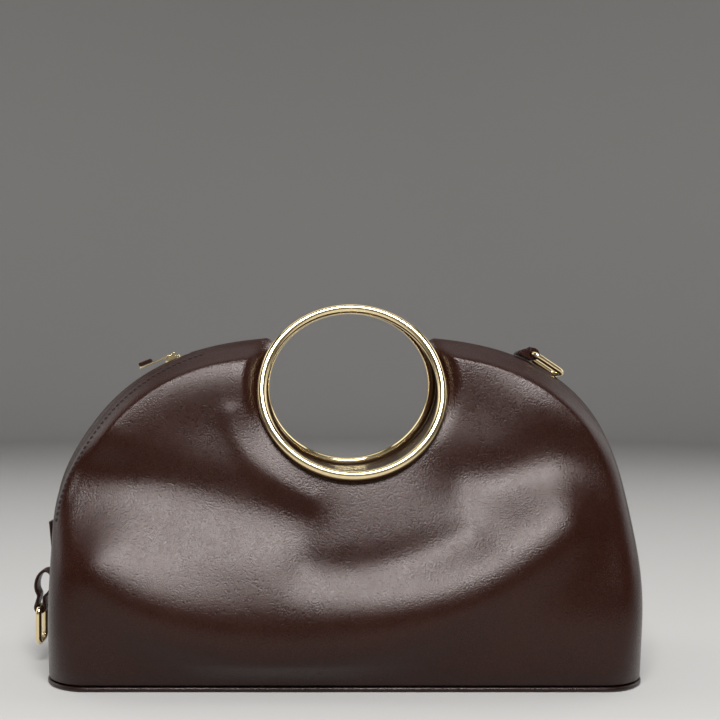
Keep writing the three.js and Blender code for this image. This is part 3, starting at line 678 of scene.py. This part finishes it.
def gold_material(name, finish):
    """Polished pale gold plate with faint hairlines and slightly duller patches."""
    material, flow, coords = new_material(name)
    patches = noise(flow, coords, PATTERN["patches"], 3)
    drawn = flow.node("ShaderNodeMapping", None, {"Vector": coords, "Scale": (1.0, 9.0, 1.0)})
    hairs = noise(flow, drawn, PATTERN["hairlines"])
    tint = mixed(flow, patches, rgba(finish.gold), rgba(finish.gold, 1.08))
    rough = finish.gold_gloss + (patches - 0.4) * 0.09 + (hairs - 0.5) * 0.05
    finish_material(flow, {
        "Base Color": tint, "Metallic": 1.0, "Roughness": rough.clamped(0.03, 0.3),
        "Normal": bumped(flow, hairs, 0.04, 0.03),
    })
    return material


def thread_material(name, finish):
    """Waxed thread, twisted finely."""
    material, flow, coords = new_material(name)
    twist = noise(flow, coords, PATTERN["twist"])
    tint = mixed(flow, twist, rgba(finish.thread, 0.7), rgba(finish.thread, 1.6))
    bump = bumped(flow, twist, 0.5, 0.1)
    finish_material(flow, {"Base Color": tint, "Roughness": 0.5 + twist * 0.2, "Normal": bump})
    return material


def zip_material(name, finish):
    """Dark woven zip tape."""
    material, flow, coords = new_material(name)
    parts = flow.node("ShaderNodeSeparateXYZ", None, {"Vector": coords})
    weft = (parts.other("Y") * WEAVE_TURNS).math("SINE")
    warp = (parts.other("Z") * WEAVE_TURNS).math("SINE")
    weave = weft * warp * 0.5 + 0.5
    fluff = noise(flow, coords, PATTERN["fluff"], 3)
    tint = mixed(flow, weave * 0.6 + fluff * 0.4, rgba(finish.zip_cloth, 0.6), rgba(finish.zip_cloth, 1.7))
    bump = bumped(flow, weave + fluff * 0.5, 0.5, 0.15)
    finish_material(flow, {"Base Color": tint, "Roughness": 0.75 + fluff * 0.15, "Normal": bump})
    return material


def floor_material(name, finish):
    """Matt studio paper."""
    material, flow, coords = new_material(name)
    fibre = noise(flow, coords, PATTERN["fibre"], 4)
    tint = mixed(flow, fibre, rgba(finish.floor, 0.985), rgba(finish.floor, 1.01))
    finish_material(flow, {"Base Color": tint, "Roughness": 0.75 + fibre * 0.1})
    return material


# What makes each finish, and the colours that it takes
FINISHES = {
    "body leather": (leather_material, "leather", "leather_light"),
    "trim leather": (leather_material, "trim", "trim"),
    "pale gold": (gold_material,),
    "thread": (thread_material,),
    "zip cloth": (zip_material,),
    "studio paper": (floor_material,),
}


def finish_named(context, name):
    """A finish of the bag, made when it is first asked for."""
    known = bpy.data.materials.get(name)
    if known:
        return known
    finish = context.scene.bag_finish
    maker, *colours = FINISHES[name]
    return maker(name, finish, *(getattr(finish, each) for each in colours))


def edge_drop(distance, radius):
    """How far a turned edge falls away at a distance from it."""
    near = np.clip(1 - distance / radius, 0, 1)
    return radius * (1 - np.sqrt(np.maximum(0, 1 - near * near)))


PANEL_STEPS = {"dome": 110, "foot": 150, "radial": 84}
# Rows beside a panel's outer edge, in shares of the last step
PANEL_EDGE_ROWS = np.array([0.75, 0.5, 0.3, 0.12, 0.0])
WORN_WIDTH = {"panel": 5 * MM, "gusset": 4 * MM}


def leather_panel(context, shape, node, sign, folds):
    """A front or back panel, with its rolled edges and its folds."""
    sizes = shape.s
    left = shape.dome_angles(-1, PANEL_STEPS["dome"])[::-1]
    right = shape.dome_angles(1, PANEL_STEPS["dome"])
    angles = np.concatenate([left, shape.foot_angles(PANEL_STEPS["foot"])[1:-1], right])
    even = np.linspace(0, 1, PANEL_STEPS["radial"] + 1)[:-1]
    rows = np.concatenate([even, 1 - PANEL_EDGE_ROWS / PANEL_STEPS["radial"]])
    start = shape.ellipse_reach(angles, shape.h.notch_radius)[:, None]
    end = shape.outline_reach(angles)[:, None]
    x, z = shape.ray_point(angles[:, None], start + (end - start) * np.sin(np.pi / 2 * rows)[None, :])
    depth = shape.panel_depth(folds, x, z)
    outer = np.stack([x, sign * depth, z], -1)
    normal = grid_normals(outer) * (-sign)
    first_foot, last_foot = len(left) - 1, len(angles) - len(right)
    normal[:first_foot + 1, -1, 1] = 0
    normal[last_foot:, -1, 1] = 0
    normal[first_foot:last_foot + 1, -1, 2] = 0
    normal = units(normal)
    drop = np.maximum(edge_drop(depth - shape.seam_depth(z), sizes.turned_edge),
                      edge_drop(z - sizes.foot_z, sizes.turned_edge))
    inner = outer - normal * sizes.wall
    inner[..., 1] = sign * np.maximum(sign * inner[..., 1], shape.seam_depth(inner[..., 2]))
    leather = finish_named(context, "body leather")
    obj = wall_object(node + "_leather", outer - normal * drop[..., None], inner, leather)
    edge = np.exp(-np.minimum(shape.inset(x, z), z - sizes.foot_z) / WORN_WIDTH["panel"])
    store_edge(obj, np.concatenate([edge.ravel(), np.ones(x.size)]))
    return place(obj, BODY, "body_leather", node)


def outline_strip(shape, name, angles, aside, thickness, material, keep=None, sunk=0.0, edges=()):
    """A strip that follows the outline, with its edges turned over where they are listed."""
    outer = shape.strip_points(angles, aside, sunk)
    normal = grid_normals(outer)
    out_x, out_z = shape.outward(outer[..., 0], outer[..., 2])
    facing = normal[..., 0] * out_x + normal[..., 2] * out_z
    normal *= np.where(facing < 0, -1, 1)[..., None]
    inner = outer - normal * thickness
    surface = outer.copy()
    for distance in edges:
        surface -= normal * edge_drop(distance, shape.s.turned_edge)[..., None]
    return wall_object(name, surface, inner, material, keep)


class BAG_OT_panels(bpy.types.Operator):
    """Make the front and back panels"""
    bl_idname = "bag_maker.panels"
    bl_label = "Panels"

    def execute(self, context):
        shape = Shape(context)
        leather_panel(context, shape, "front_panel", -1, FRONT_FOLDS)
        leather_panel(context, shape, "back_panel", 1, BACK_FOLDS)
        return {"FINISHED"}


GUSSET_STEPS = {"along": 180, "across": 5}
# Rows beside a gusset's edges, and the room that they need on each side
GUSSET_EDGE_ROWS = np.array([0.0, 0.08, 0.25, 0.5, 0.8, 1.2]) * MM
GUSSET_EDGE_BAND = 2 * MM
GUSSET_ROOM = 5 * MM
NARROW_SLOT_SHARE = 0.7
ANGLE_SLACK = 1e-6


def gusset_rows(width, slot):
    """Distances from the middle across one place of a gusset, closer together at its edges."""
    edge = min(slot, width * NARROW_SLOT_SHARE)
    steps = GUSSET_STEPS["across"]
    if width - edge > GUSSET_ROOM:
        middle = np.linspace(edge + GUSSET_EDGE_BAND, width - GUSSET_EDGE_BAND, steps)
        rows = np.concatenate([edge + GUSSET_EDGE_ROWS, middle, (width - GUSSET_EDGE_ROWS)[::-1]])
    else:
        rows = np.linspace(edge, width, 2 * len(GUSSET_EDGE_ROWS) + steps)
    return np.concatenate([-rows[::-1], [0.0], rows])


class BAG_OT_gussets(bpy.types.Operator):
    """Make the side gussets, the left one open along the zip"""
    bl_idname = "bag_maker.gussets"
    bl_label = "Gussets"

    def execute(self, context):
        shape = Shape(context)
        leather = finish_named(context, "body leather")
        for node, sign in (("gusset_left", -1), ("gusset_right", 1)):
            angles = shape.dome_angles(sign, GUSSET_STEPS["along"])
            if sign < 0:
                ends = shape.zip_angles(0, 1)
                angles = np.sort(np.concatenate([angles, ends]))[::-1]
            _, z = shape.outline_points(angles)
            half = shape.seam_depth(z) - shape.s.gap
            slot = shape.h.slot_half
            aside = np.array([gusset_rows(width, slot) for width in half])
            rows = aside.shape[1]
            keep = np.ones((len(angles) - 1, rows - 1), bool)
            edges = [half[:, None] - np.abs(aside)]
            if sign < 0:
                low, high = sorted(ends)
                middle = (angles[1:] + angles[:-1]) / 2
                in_zip = (middle > low) & (middle < high)
                keep[np.ix_(in_zip, [rows // 2 - 1, rows // 2])] = False
                at_zip = (angles > low - ANGLE_SLACK) & (angles < high + ANGLE_SLACK)
                slot_gap = np.where(at_zip[:, None], np.abs(aside) - slot, 1.0)
                edges.append(np.maximum(slot_gap, 0))
            obj = outline_strip(shape, node + "_leather", angles, aside, shape.s.wall, leather,
                                keep=keep, edges=edges)
            near_seam = np.exp(-edges[0] / WORN_WIDTH["gusset"])
            store_edge(obj, np.concatenate([near_seam.ravel(), np.ones(aside.size)]))
            place(obj, BODY, "body_leather", node)
        return {"FINISHED"}


COLLAR_STEPS = {"along": 160, "across": 16}
COLLAR_PLAY = 0.2 * MM


class BAG_OT_collar(bpy.types.Operator):
    """Make the leather trough between the rings"""
    bl_idname = "bag_maker.collar"
    bl_label = "Ring collar"

    def execute(self, context):
        shape = Shape(context)
        angles = np.linspace(shape.notch_end_angle(-1), shape.notch_end_angle(1), COLLAR_STEPS["along"] + 1)
        across = np.linspace(-1, 1, COLLAR_STEPS["across"] + 1)
        inside = (shape.s.wall + shape.s.gap) / shape.cos_lean + COLLAR_PLAY
        _, outer_z = shape.ray_point(angles, shape.ellipse_reach(angles, shape.h.collar_outer))
        y = across[None, :] * (shape.ring_seat(outer_z) - inside)[:, None]
        grids = []
        for radius in (shape.h.collar_inner, shape.h.collar_outer):
            x, z = shape.ray_point(angles, shape.ellipse_reach(angles, radius))
            grids.append(np.stack(np.broadcast_arrays(x[:, None], y, z[:, None]), -1))
        obj = wall_object("ring_collar_leather", *grids, finish_named(context, "body leather"))
        store_edge(obj)
        place(obj, BODY, "body_leather", "ring_collar")
        return {"FINISHED"}


def foot_loop(shape, outset, steps):
    """The foot of the walls seen from above, moved outward by an amount."""
    angles = shape.foot_angles(steps)
    x, _ = shape.outline_points(angles)
    depth = shape.panel_depth((), x, np.full_like(x, shape.s.foot_z))
    front = np.stack([x, -depth], -1)
    back = np.stack([x, depth], -1)[::-1]
    loop = np.concatenate([front, back])
    run = units(np.roll(loop, -1, axis=0) - np.roll(loop, 1, axis=0))
    return loop + outset * np.stack([run[:, 1], -run[:, 0]], -1)


def wire(path, radius, sides, plane):
    """Points of a round wire along a closed path that lies in a plane."""
    aside = units(np.cross(units(np.roll(path, -1, axis=0) - np.roll(path, 1, axis=0)), plane))
    turns = 2 * np.pi * np.arange(sides) / sides
    return (path[:, None] + radius * (np.cos(turns)[None, :, None] * aside[:, None]
                                      + np.sin(turns)[None, :, None] * np.asarray(plane)[None, None]))


BASE_STEPS = {"foot": 140, "under": 10, "over": 4}
# How far out the rings of points of the base lie, in shares of the way to its rim
BASE_SHARES = {"middle": 0.02, "under": 0.985, "turn": 0.9988, "upper rim": 0.99, "over": 0.9}
BASE_ROUND = 0.6 * MM
PIPING_SIDES = 18


def base_levels(thick):
    """Share of the way out and height of each ring of points of the base, from below to above."""
    at = BASE_SHARES
    under = [(share, 0.0) for share in np.linspace(at["middle"], at["under"], BASE_STEPS["under"])]
    side = [(at["turn"], 0.0), (1.0, BASE_ROUND), (1.0, thick - BASE_ROUND), (at["upper rim"], thick)]
    over = [(share, thick) for share in np.linspace(at["over"], at["middle"], BASE_STEPS["over"])]
    return under + side + over


class BAG_OT_base(bpy.types.Operator):
    """Make the base and its piping"""
    bl_idname = "bag_maker.base"
    bl_label = "Base"

    def execute(self, context):
        shape = Shape(context)
        sizes = shape.s
        trim = finish_named(context, "trim leather")
        rim = foot_loop(shape, -sizes.base_inset, BASE_STEPS["foot"])
        middle = np.array([rim[:, 0].mean(), 0.0])
        rings = []
        for share, height in base_levels(sizes.base_thickness):
            flat = middle + (rim - middle) * share
            rings.append(np.concatenate([flat, np.full((len(rim), 1), height)], axis=1))
        obj = make_object("base_leather", rings, loop_faces(len(rings), len(rim), False), trim)
        store_edge(obj)
        place(obj, BODY, "trim_leather", "base_panel")
        line = foot_loop(shape, sizes.piping_outset, BASE_STEPS["foot"])
        height = np.full((len(line), 1), sizes.piping_radius + sizes.piping_lift)
        cord = wire(np.concatenate([line, height], axis=1), sizes.piping_radius, PIPING_SIDES, (0, 0, 1))
        piping = make_object("piping_leather", cord, loop_faces(len(line), PIPING_SIDES, True), trim)
        store_edge(piping)
        place(piping, BODY, "trim_leather", "base_piping")
        return {"FINISHED"}


def gold_wire(context, node, body, path, radius, sides, plane):
    """A ring of gold wire along a closed path that lies in a plane."""
    tube = wire(path, radius, sides, plane)
    faces = loop_faces(len(path), sides, True)
    obj = make_object(node + "_gold", tube, faces, finish_named(context, "pale gold"))
    return place(obj, body, "gold", node)


RING_STEPS = {"along": 300, "around": 48}


class BAG_OT_rings(bpy.types.Operator):
    """Make the two ring handles"""
    bl_idname = "bag_maker.rings"
    bl_label = "Ring handles"

    def execute(self, context):
        shape = Shape(context)
        hardware = shape.h
        turns = 2 * np.pi * np.arange(RING_STEPS["along"]) / RING_STEPS["along"]
        for node, sign in (("front_ring", -1), ("back_ring", 1)):
            lean = math.pi / 2 + sign * hardware.ring_lean
            upward = np.array([0, math.cos(lean), math.sin(lean)])
            plane = np.array([0, -math.sin(lean), math.cos(lean)])
            middle = np.array([hardware.ring_x, sign * hardware.ring_half_span, hardware.ring_z])
            path = middle + hardware.ring_radius * (np.cos(turns)[:, None] * np.array([1.0, 0, 0])
                                                    + np.sin(turns)[:, None] * upward)
            gold_wire(context, node, BODY, path, hardware.ring_wire, RING_STEPS["around"], plane)
        return {"FINISHED"}


def rounded_rectangle(half_length, half_width, radius, steps):
    """Points of a rounded rectangle, anticlockwise."""
    points = []
    for corner, (sx, sy) in enumerate(((1, -1), (1, 1), (-1, 1), (-1, -1))):
        for step in range(steps + 1):
            angle = -math.pi / 2 + (corner + step / steps) * math.pi / 2
            points.append((sx * (half_length - radius) + radius * math.cos(angle),
                           sy * (half_width - radius) + radius * math.sin(angle)))
    return np.array(points)


STRAP_RING_STEPS = {"corner": 14, "around": 24}


def strap_ring(context, shape, node, body, origin, axes):
    """A rounded rectangle of wire whose held bar lies on Y at the origin and which reaches along X."""
    hardware = shape.h
    half = hardware.strap_ring_length / 2
    flat = rounded_rectangle(half, hardware.strap_ring_half, hardware.strap_ring_corner,
                             STRAP_RING_STEPS["corner"])
    path = origin + (flat[:, :1] + half) * axes[0] + flat[:, 1:] * axes[1]
    return gold_wire(context, node, body, path, hardware.strap_wire, STRAP_RING_STEPS["around"], axes[2])


def loop_radii(shape):
    """Inner and outer radius of a tab's loop round a strap ring's bar."""
    eye = shape.h.strap_wire + shape.h.loop_clearance
    return eye, eye + shape.s.tab_wall


def right_ring_frame(shape):
    """Origin and axes of the right strap ring's tab."""
    hinge = shape.h.right_hinge_x
    return shape.dome_frame(hinge, hinge + shape.h.strap_ring_length, shape.h.right_roll)


class BAG_OT_strap_rings(bpy.types.Operator):
    """Make the two rectangular strap rings"""
    bl_idname = "bag_maker.strap_rings"
    bl_label = "Strap rings"

    def execute(self, context):
        shape = Shape(context)
        origin, axes = right_ring_frame(shape)
        lift = loop_radii(shape)[1] + shape.s.gap
        strap_ring(context, shape, "right_strap_ring", "right_ring", origin + lift * axes[2], axes)
        hinge = np.array([shape.h.side_hinge_x, 0, shape.h.side_hinge_z])
        hanging = np.array([[0, 0, -1.0], [0, 1.0, 0], [1.0, 0, 0]])
        strap_ring(context, shape, "side_strap_ring", "side_ring", hinge, hanging)
        return {"FINISHED"}


def even_path(points, steps):
    """Points spaced evenly along a line of points."""
    points = np.asarray(points, float)
    run = np.concatenate([[0], np.cumsum(np.linalg.norm(np.diff(points, axis=0), axis=1))])
    at = np.linspace(0, run[-1], steps + 1)
    return np.stack([np.interp(at, run, points[:, axis]) for axis in range(points.shape[1])], -1)


def eased_line(points, times):
    """A line of points with its kinks eased and its ends kept."""
    points = points.copy()
    for _ in range(times):
        points[1:-1] = points[1:-1] * 0.5 + (points[:-2] + points[2:]) * 0.25
    return points


STRAP_SECTION = {"corner": 0.45, "steps": 5, "wear": 6}


def folded_strap(context, name, path, thickness, half_width):
    """A leather strap folded along a path in X and Z, with rounded edges."""
    run = units(np.gradient(path, axis=0))
    section = rounded_rectangle(thickness / 2, half_width, STRAP_SECTION["corner"] * thickness,
                                STRAP_SECTION["steps"])
    x = path[:, None, 0] - section[None, :, 0] * run[:, None, 1]
    z = path[:, None, 1] + section[None, :, 0] * run[:, None, 0]
    y = np.broadcast_to(section[None, :, 1], x.shape)
    faces = loop_faces(len(path), len(section), False)
    obj = make_object(name, np.stack([x, y, z], -1), faces, finish_named(context, "body leather"))
    store_edge(obj, (np.abs(y) / half_width) ** STRAP_SECTION["wear"])
    return obj


# Angles in degrees between which the side tab's leather follows its open fold and its loop
SIDE_TAB_BENDS = {"fold down": (5, -72), "loop": (40, -215), "fold up": (252, 50)}
SIDE_TAB_STEPS = {"leg": 8, "fold": 30, "loop": 40, "whole": 220, "easing": 12}
SIDE_TAB_LEG_END = 6 * MM


def fold_points(shape, bend):
    """Points along the side tab's open fold."""
    turns = np.radians(np.linspace(*SIDE_TAB_BENDS[bend], SIDE_TAB_STEPS["fold"]))
    half = shape.s.tab_wall / 2
    across = (shape.h.lobe_across - half) * np.cos(turns)
    along = (shape.h.lobe_along - half) * np.sin(turns)
    tilt = -shape.h.lobe_tilt
    return np.stack([shape.h.lobe_x + across * math.cos(tilt) - along * math.sin(tilt),
                     shape.h.lobe_z + across * math.sin(tilt) + along * math.cos(tilt)], -1)


def side_tab_path(shape):
    """Middle line of the side tab: down the gusset, round the ring's bar and up into an open fold."""
    eye, outer = loop_radii(shape)
    middle = (eye + outer) / 2
    heights = np.linspace(shape.h.side_top_z, shape.h.lobe_z + SIDE_TAB_LEG_END, SIDE_TAB_STEPS["leg"])
    edge = shape.lean(heights) - shape.half_width(-1.0, heights) - shape.crown(heights, 0)
    leg = np.stack([edge - shape.h.side_standoff - shape.s.tab_wall / 2, heights], -1)
    turns = np.radians(np.linspace(*SIDE_TAB_BENDS["loop"], SIDE_TAB_STEPS["loop"]))
    loop = np.stack([shape.h.side_hinge_x + middle * np.cos(turns),
                     shape.h.side_hinge_z + middle * np.sin(turns)], -1)
    path = np.concatenate([leg, fold_points(shape, "fold down"), loop, fold_points(shape, "fold up")])
    return eased_line(even_path(path, SIDE_TAB_STEPS["whole"]), SIDE_TAB_STEPS["easing"])


class BAG_OT_tabs(bpy.types.Operator):
    """Make the folded leather tabs that hold the strap rings"""
    bl_idname = "bag_maker.tabs"
    bl_label = "Ring tabs"

    def execute(self, context):
        shape = Shape(context)
        side = folded_strap(context, "side_tab_leather", side_tab_path(shape), shape.s.tab_wall,
                            shape.s.tab_half_width)
        place(side, BODY, "body_leather", "side_tab")
        right = softened_solid("right_tab_leather", "right_tab", finish_named(context, "body leather"))
        store_edge(right)
        place(right, BODY, "body_leather", "right_tab")
        return {"FINISHED"}


def geometry_tree(name, inputs):
    """An empty Geometry Nodes tree with named inputs, and the flows of those inputs by name."""
    tree = bpy.data.node_groups.new(name, "GeometryNodeTree")
    tree.interface.new_socket("Geometry", in_out="INPUT", socket_type="NodeSocketGeometry")
    for label, kind in inputs.items():
        tree.interface.new_socket(label, in_out="INPUT", socket_type=kind)
    tree.interface.new_socket("Geometry", in_out="OUTPUT", socket_type="NodeSocketGeometry")
    entry = tree.nodes.new("NodeGroupInput")
    flows = {socket.name: Flow(tree, socket) for socket in entry.outputs if socket.name}
    return tree, Flow(tree), flows


def repeat_tree(name):
    """A tree that sets one rounded bead at even steps along a path, turned to follow it."""
    inputs = {"Pitch": "NodeSocketFloat", "Bead": "NodeSocketVector", "Finish": "NodeSocketMaterial"}
    tree, flow, given = geometry_tree(name, inputs)
    curve = flow.node("GeometryNodeMeshToCurve", None, {"Mesh": given["Geometry"]})
    spots = flow.node("GeometryNodeCurveToPoints", {"mode": "LENGTH"},
                      {"Curve": curve, "Length": given["Pitch"]})
    aligned = flow.node("FunctionNodeAlignRotationToVector", {"axis": "Z", "pivot_axis": "Y"},
                        {"Vector": spots.other("Tangent")})
    bead = flow.node("GeometryNodeMeshIcoSphere", None, {"Radius": 1.0, "Subdivisions": 2})
    shaped = flow.node("GeometryNodeTransform", None, {"Geometry": bead, "Scale": given["Bead"]})
    beads = flow.node("GeometryNodeInstanceOnPoints", None,
                      {"Points": spots, "Instance": shaped, "Rotation": aligned})
    real = flow.node("GeometryNodeRealizeInstances", None, {"Geometry": beads})
    smoothed = flow.node("GeometryNodeSetShadeSmooth", None, {"Geometry": real, "Shade Smooth": True})
    finished = flow.node("GeometryNodeSetMaterial", None, {"Geometry": smoothed, "Material": given["Finish"]})
    flow.node("NodeGroupOutput", None, {"Geometry": finished})
    return tree


def beads_along(name, path, pitch, bead, material):
    """Beads at even steps along a path, as a plain mesh."""
    line = bpy.data.meshes.new(name + "_path")
    line.from_pydata([tuple(point) for point in path], [(at, at + 1) for at in range(len(path) - 1)], [])
    obj = bpy.data.objects.new(name, line)
    bpy.context.scene.collection.objects.link(obj)
    tree = bpy.data.node_groups.get("beads along a path") or repeat_tree("beads along a path")
    modifier = obj.modifiers.new("Beads", "NODES")
    modifier.node_group = tree
    sockets = {item.name: item.identifier for item in tree.interface.items_tree if item.in_out == "INPUT"}
    modifier[sockets["Pitch"]] = pitch
    modifier[sockets["Bead"]] = bead
    modifier[sockets["Finish"]] = material
    return applied(obj)


ZIP_STEPS = {"along": 90, "across": 12}
# The coil stops short of the slot's ends, and half a tooth takes this share of the pitch
COIL_RETREAT = -1 * MM
TOOTH_SHARE = 0.46


class BAG_OT_zip(bpy.types.Operator):
    """Make the zip's tape and its coil"""
    bl_idname = "bag_maker.zip"
    bl_label = "Zip"

    def execute(self, context):
        shape = Shape(context)
        hardware = shape.h
        cloth = finish_named(context, "zip cloth")
        angles = shape.zip_angles(hardware.tape_overlap, ZIP_STEPS["along"])
        across = np.linspace(-1, 1, ZIP_STEPS["across"] + 1) * hardware.tape_half
        aside = np.broadcast_to(across, (len(angles), len(across)))
        tape = outline_strip(shape, "zip_tape_cloth", angles, aside, hardware.tape_thickness, cloth,
                             sunk=hardware.tape_sunk)
        place(tape, BODY, "zip_cloth", "zip_tape")
        angles = shape.zip_angles(COIL_RETREAT, ZIP_STEPS["along"])
        sunk = hardware.tape_sunk - shape.s.gap - hardware.coil_height / 2
        path = shape.strip_points(angles, np.zeros((len(angles), 1)), sunk)[:, 0]
        bead = (hardware.coil_height / 2, hardware.coil_half, hardware.coil_pitch * TOOTH_SHARE)
        coil = beads_along("zip_coil_teeth", path, hardware.coil_pitch, bead, cloth)
        place(coil, BODY, "zip_cloth", "zip_coil")
        return {"FINISHED"}


class BAG_OT_zip_pull(bpy.types.Operator):
    """Make the zip's slider, its puller and the leather on it"""
    bl_idname = "bag_maker.zip_pull"
    bl_label = "Zip pull"

    def execute(self, context):
        gold = finish_named(context, "pale gold")
        leather = finish_named(context, "body leather")
        place(softened_solid("zip_slider_gold", "zip_slider", gold), BODY, "gold", "zip_slider")
        place(softened_solid("zip_puller_gold", "zip_puller", gold), "zip_pull", "gold", "zip_puller")
        tab = softened_solid("pull_tab_leather", "pull_tab", leather)
        store_edge(tab)
        place(tab, "zip_pull", "body_leather", "pull_tab")
        return {"FINISHED"}


STITCH_STEPS = 160
STITCH_OVERRUN = 2 * MM
# How far the thread's middle stands over the leather, in shares of its radius
THREAD_PROUD = 0.1


class BAG_OT_stitches(bpy.types.Operator):
    """Sew the panels beside the zip"""
    bl_idname = "bag_maker.stitches"
    bl_label = "Stitches"

    def execute(self, context):
        shape = Shape(context)
        sizes = shape.s
        thread = finish_named(context, "thread")
        angles = shape.zip_angles(STITCH_OVERRUN, STITCH_STEPS)
        x, z = shape.ray_point(angles, shape.outline_reach(angles) - sizes.stitch_inset)
        bead = (sizes.thread_radius, sizes.thread_radius, sizes.stitch_length / 2)
        for side, sign, folds in (("front", -1, FRONT_FOLDS), ("back", 1, BACK_FOLDS)):
            y = sign * (shape.panel_depth(folds, x, z) + sizes.thread_radius * THREAD_PROUD)
            path = np.stack([x, y, z], -1)
            row = beads_along(side + "_zip_stitches", path, sizes.stitch_pitch, bead, thread)
            place(row, BODY, "body_leather")
        return {"FINISHED"}


# Camera in metres, with its lens and film in millimetres
CAMERA = {
    "eye": (-0.0199, -0.572, 0.161), "nearest": 0.01, "lens": 51.5, "film": 36, "shift": (0.075, 0.0153),
}
# Round floor that bends up into a wall, in metres
SWEEP = {"inner": 0.5, "flat": 1.9, "bend": 0.7, "top": 2.4, "bend steps": 24, "turns": 96}
AIR = {"colour": (0.9, 0.92, 0.95, 1), "strength": 0.06}


class Lamp(NamedTuple):
    """A soft square lamp that looks at a point, in metres and watts."""
    name: str
    at: tuple
    to: tuple
    size: tuple
    power: float


LAMPS = (
    Lamp("key softbox", (0.0, -0.93, 1.20), (0.0, 0.0, 0.08), (0.75, 0.38), 24),
    Lamp("front fill", (0.0, -1.75, 0.95), (0.0, 0.0, 0.15), (2.6, 1.8), 1.6),
    Lamp("overhead softbox", (0.0, 0.3, 1.25), (0.0, 0.0, 0.1), (1.4, 0.8), 3),
    Lamp("left softbox", (-1.1, 0.3, 0.6), (0.0, 0.0, 0.12), (1.0, 1.1), 4),
    Lamp("right softbox", (1.1, 0.3, 0.6), (0.0, 0.0, 0.12), (1.0, 1.1), 4),
)


def studio_floor(context):
    """The floor and the wall round it, as one bowl of paper."""
    bends = np.linspace(0, math.pi / 2, SWEEP["bend steps"] + 1)
    flat, bend = SWEEP["flat"], SWEEP["bend"]
    reach = np.concatenate([[0.0, SWEEP["inner"]], flat + bend * np.sin(bends), [flat + bend]])[:, None]
    rise = np.concatenate([[0.0, 0.0], bend * (1 - np.cos(bends)), [SWEEP["top"]]])[:, None]
    turns = 2 * np.pi * np.arange(SWEEP["turns"]) / SWEEP["turns"]
    rings = np.stack(np.broadcast_arrays(reach * np.cos(turns), reach * np.sin(turns), rise), -1)
    number = np.arange(rings.shape[0] * rings.shape[1]).reshape(rings.shape[:2])
    beside = np.roll(number, -1, axis=1)
    faces = np.stack([number[:-1], number[1:], beside[1:], beside[:-1]], -1).reshape(-1, 4)
    mesh = bpy.data.meshes.new("studio floor")
    mesh.from_pydata(rings.reshape(-1, 3).tolist(), [], faces.tolist())
    mesh.shade_smooth()
    mesh.materials.append(finish_named(context, "studio paper"))
    floor = bpy.data.objects.new("studio_floor", mesh)
    context.scene.collection.objects.link(floor)


def studio_lights(scene):
    """The soft lamps and the faint light of the air."""
    for lamp in LAMPS:
        data = bpy.data.lights.new(lamp.name, "AREA")
        data.shape = "RECTANGLE"
        data.size, data.size_y = lamp.size
        data.energy = lamp.power
        obj = bpy.data.objects.new(lamp.name, data)
        obj.location = lamp.at
        obj.rotation_euler = (Vector(lamp.to) - Vector(lamp.at)).to_track_quat("-Z", "Y").to_euler()
        scene.collection.objects.link(obj)
    scene.world = bpy.data.worlds.new("studio air")
    scene.world.use_nodes = True
    air = scene.world.node_tree.nodes["Background"].inputs
    air["Color"].default_value = AIR["colour"]
    air["Strength"].default_value = AIR["strength"]
    scene.view_settings.view_transform = "Standard"


def studio_camera(scene):
    """The camera, level and square to the front."""
    data = bpy.data.cameras.new("camera")
    data.lens = CAMERA["lens"]
    data.sensor_width = CAMERA["film"]
    data.shift_x, data.shift_y = CAMERA["shift"]
    data.clip_start = CAMERA["nearest"]
    camera = bpy.data.objects.new("camera", data)
    camera.location = CAMERA["eye"]
    camera.rotation_euler = (math.pi / 2, 0, 0)
    scene.collection.objects.link(camera)
    scene.camera = camera


class BAG_OT_stage(bpy.types.Operator):
    """Set up the floor, the lamps and the camera"""
    bl_idname = "bag_maker.stage"
    bl_label = "Studio"

    def execute(self, context):
        studio_floor(context)
        studio_lights(context.scene)
        studio_camera(context.scene)
        return {"FINISHED"}


MAKERS = (
    BAG_OT_panels, BAG_OT_gussets, BAG_OT_collar, BAG_OT_base, BAG_OT_rings, BAG_OT_zip, BAG_OT_zip_pull,
    BAG_OT_tabs, BAG_OT_strap_rings, BAG_OT_stitches, BAG_OT_stage,
)


class BAG_PT_maker(bpy.types.Panel):
    """The bag's makers, sizes and finishes"""
    bl_idname = "BAG_PT_maker"
    bl_label = "Half-moon bag"
    bl_space_type = "VIEW_3D"
    bl_region_type = "UI"
    bl_category = "Bag"

    def draw(self, context):
        for maker in MAKERS:
            self.layout.operator(maker.bl_idname)
        for group in (context.scene.bag_sizes, context.scene.bag_hardware, context.scene.bag_finish):
            box = self.layout.box()
            for name in group.bl_rna.properties.keys():
                if name not in {"rna_type", "name"}:
                    box.prop(group, name)


GROUPS = {"bag_sizes": BagSizes, "bag_hardware": BagHardware, "bag_finish": BagFinish}


def register():
    for group in GROUPS.values():
        bpy.utils.register_class(group)
    for name, group in GROUPS.items():
        setattr(bpy.types.Scene, name, PointerProperty(type=group))
    for maker in MAKERS:
        bpy.utils.register_class(maker)
    bpy.utils.register_class(BAG_PT_maker)


def unregister():
    bpy.utils.unregister_class(BAG_PT_maker)
    for maker in reversed(MAKERS):
        bpy.utils.unregister_class(maker)
    for name, group in reversed(GROUPS.items()):
        delattr(bpy.types.Scene, name)
        bpy.utils.unregister_class(group)


def main():
    register()
    for maker in MAKERS:
        module, action = maker.bl_idname.split(".")
        getattr(getattr(bpy.ops, module), action)()


if __name__ == "__main__":
    main()
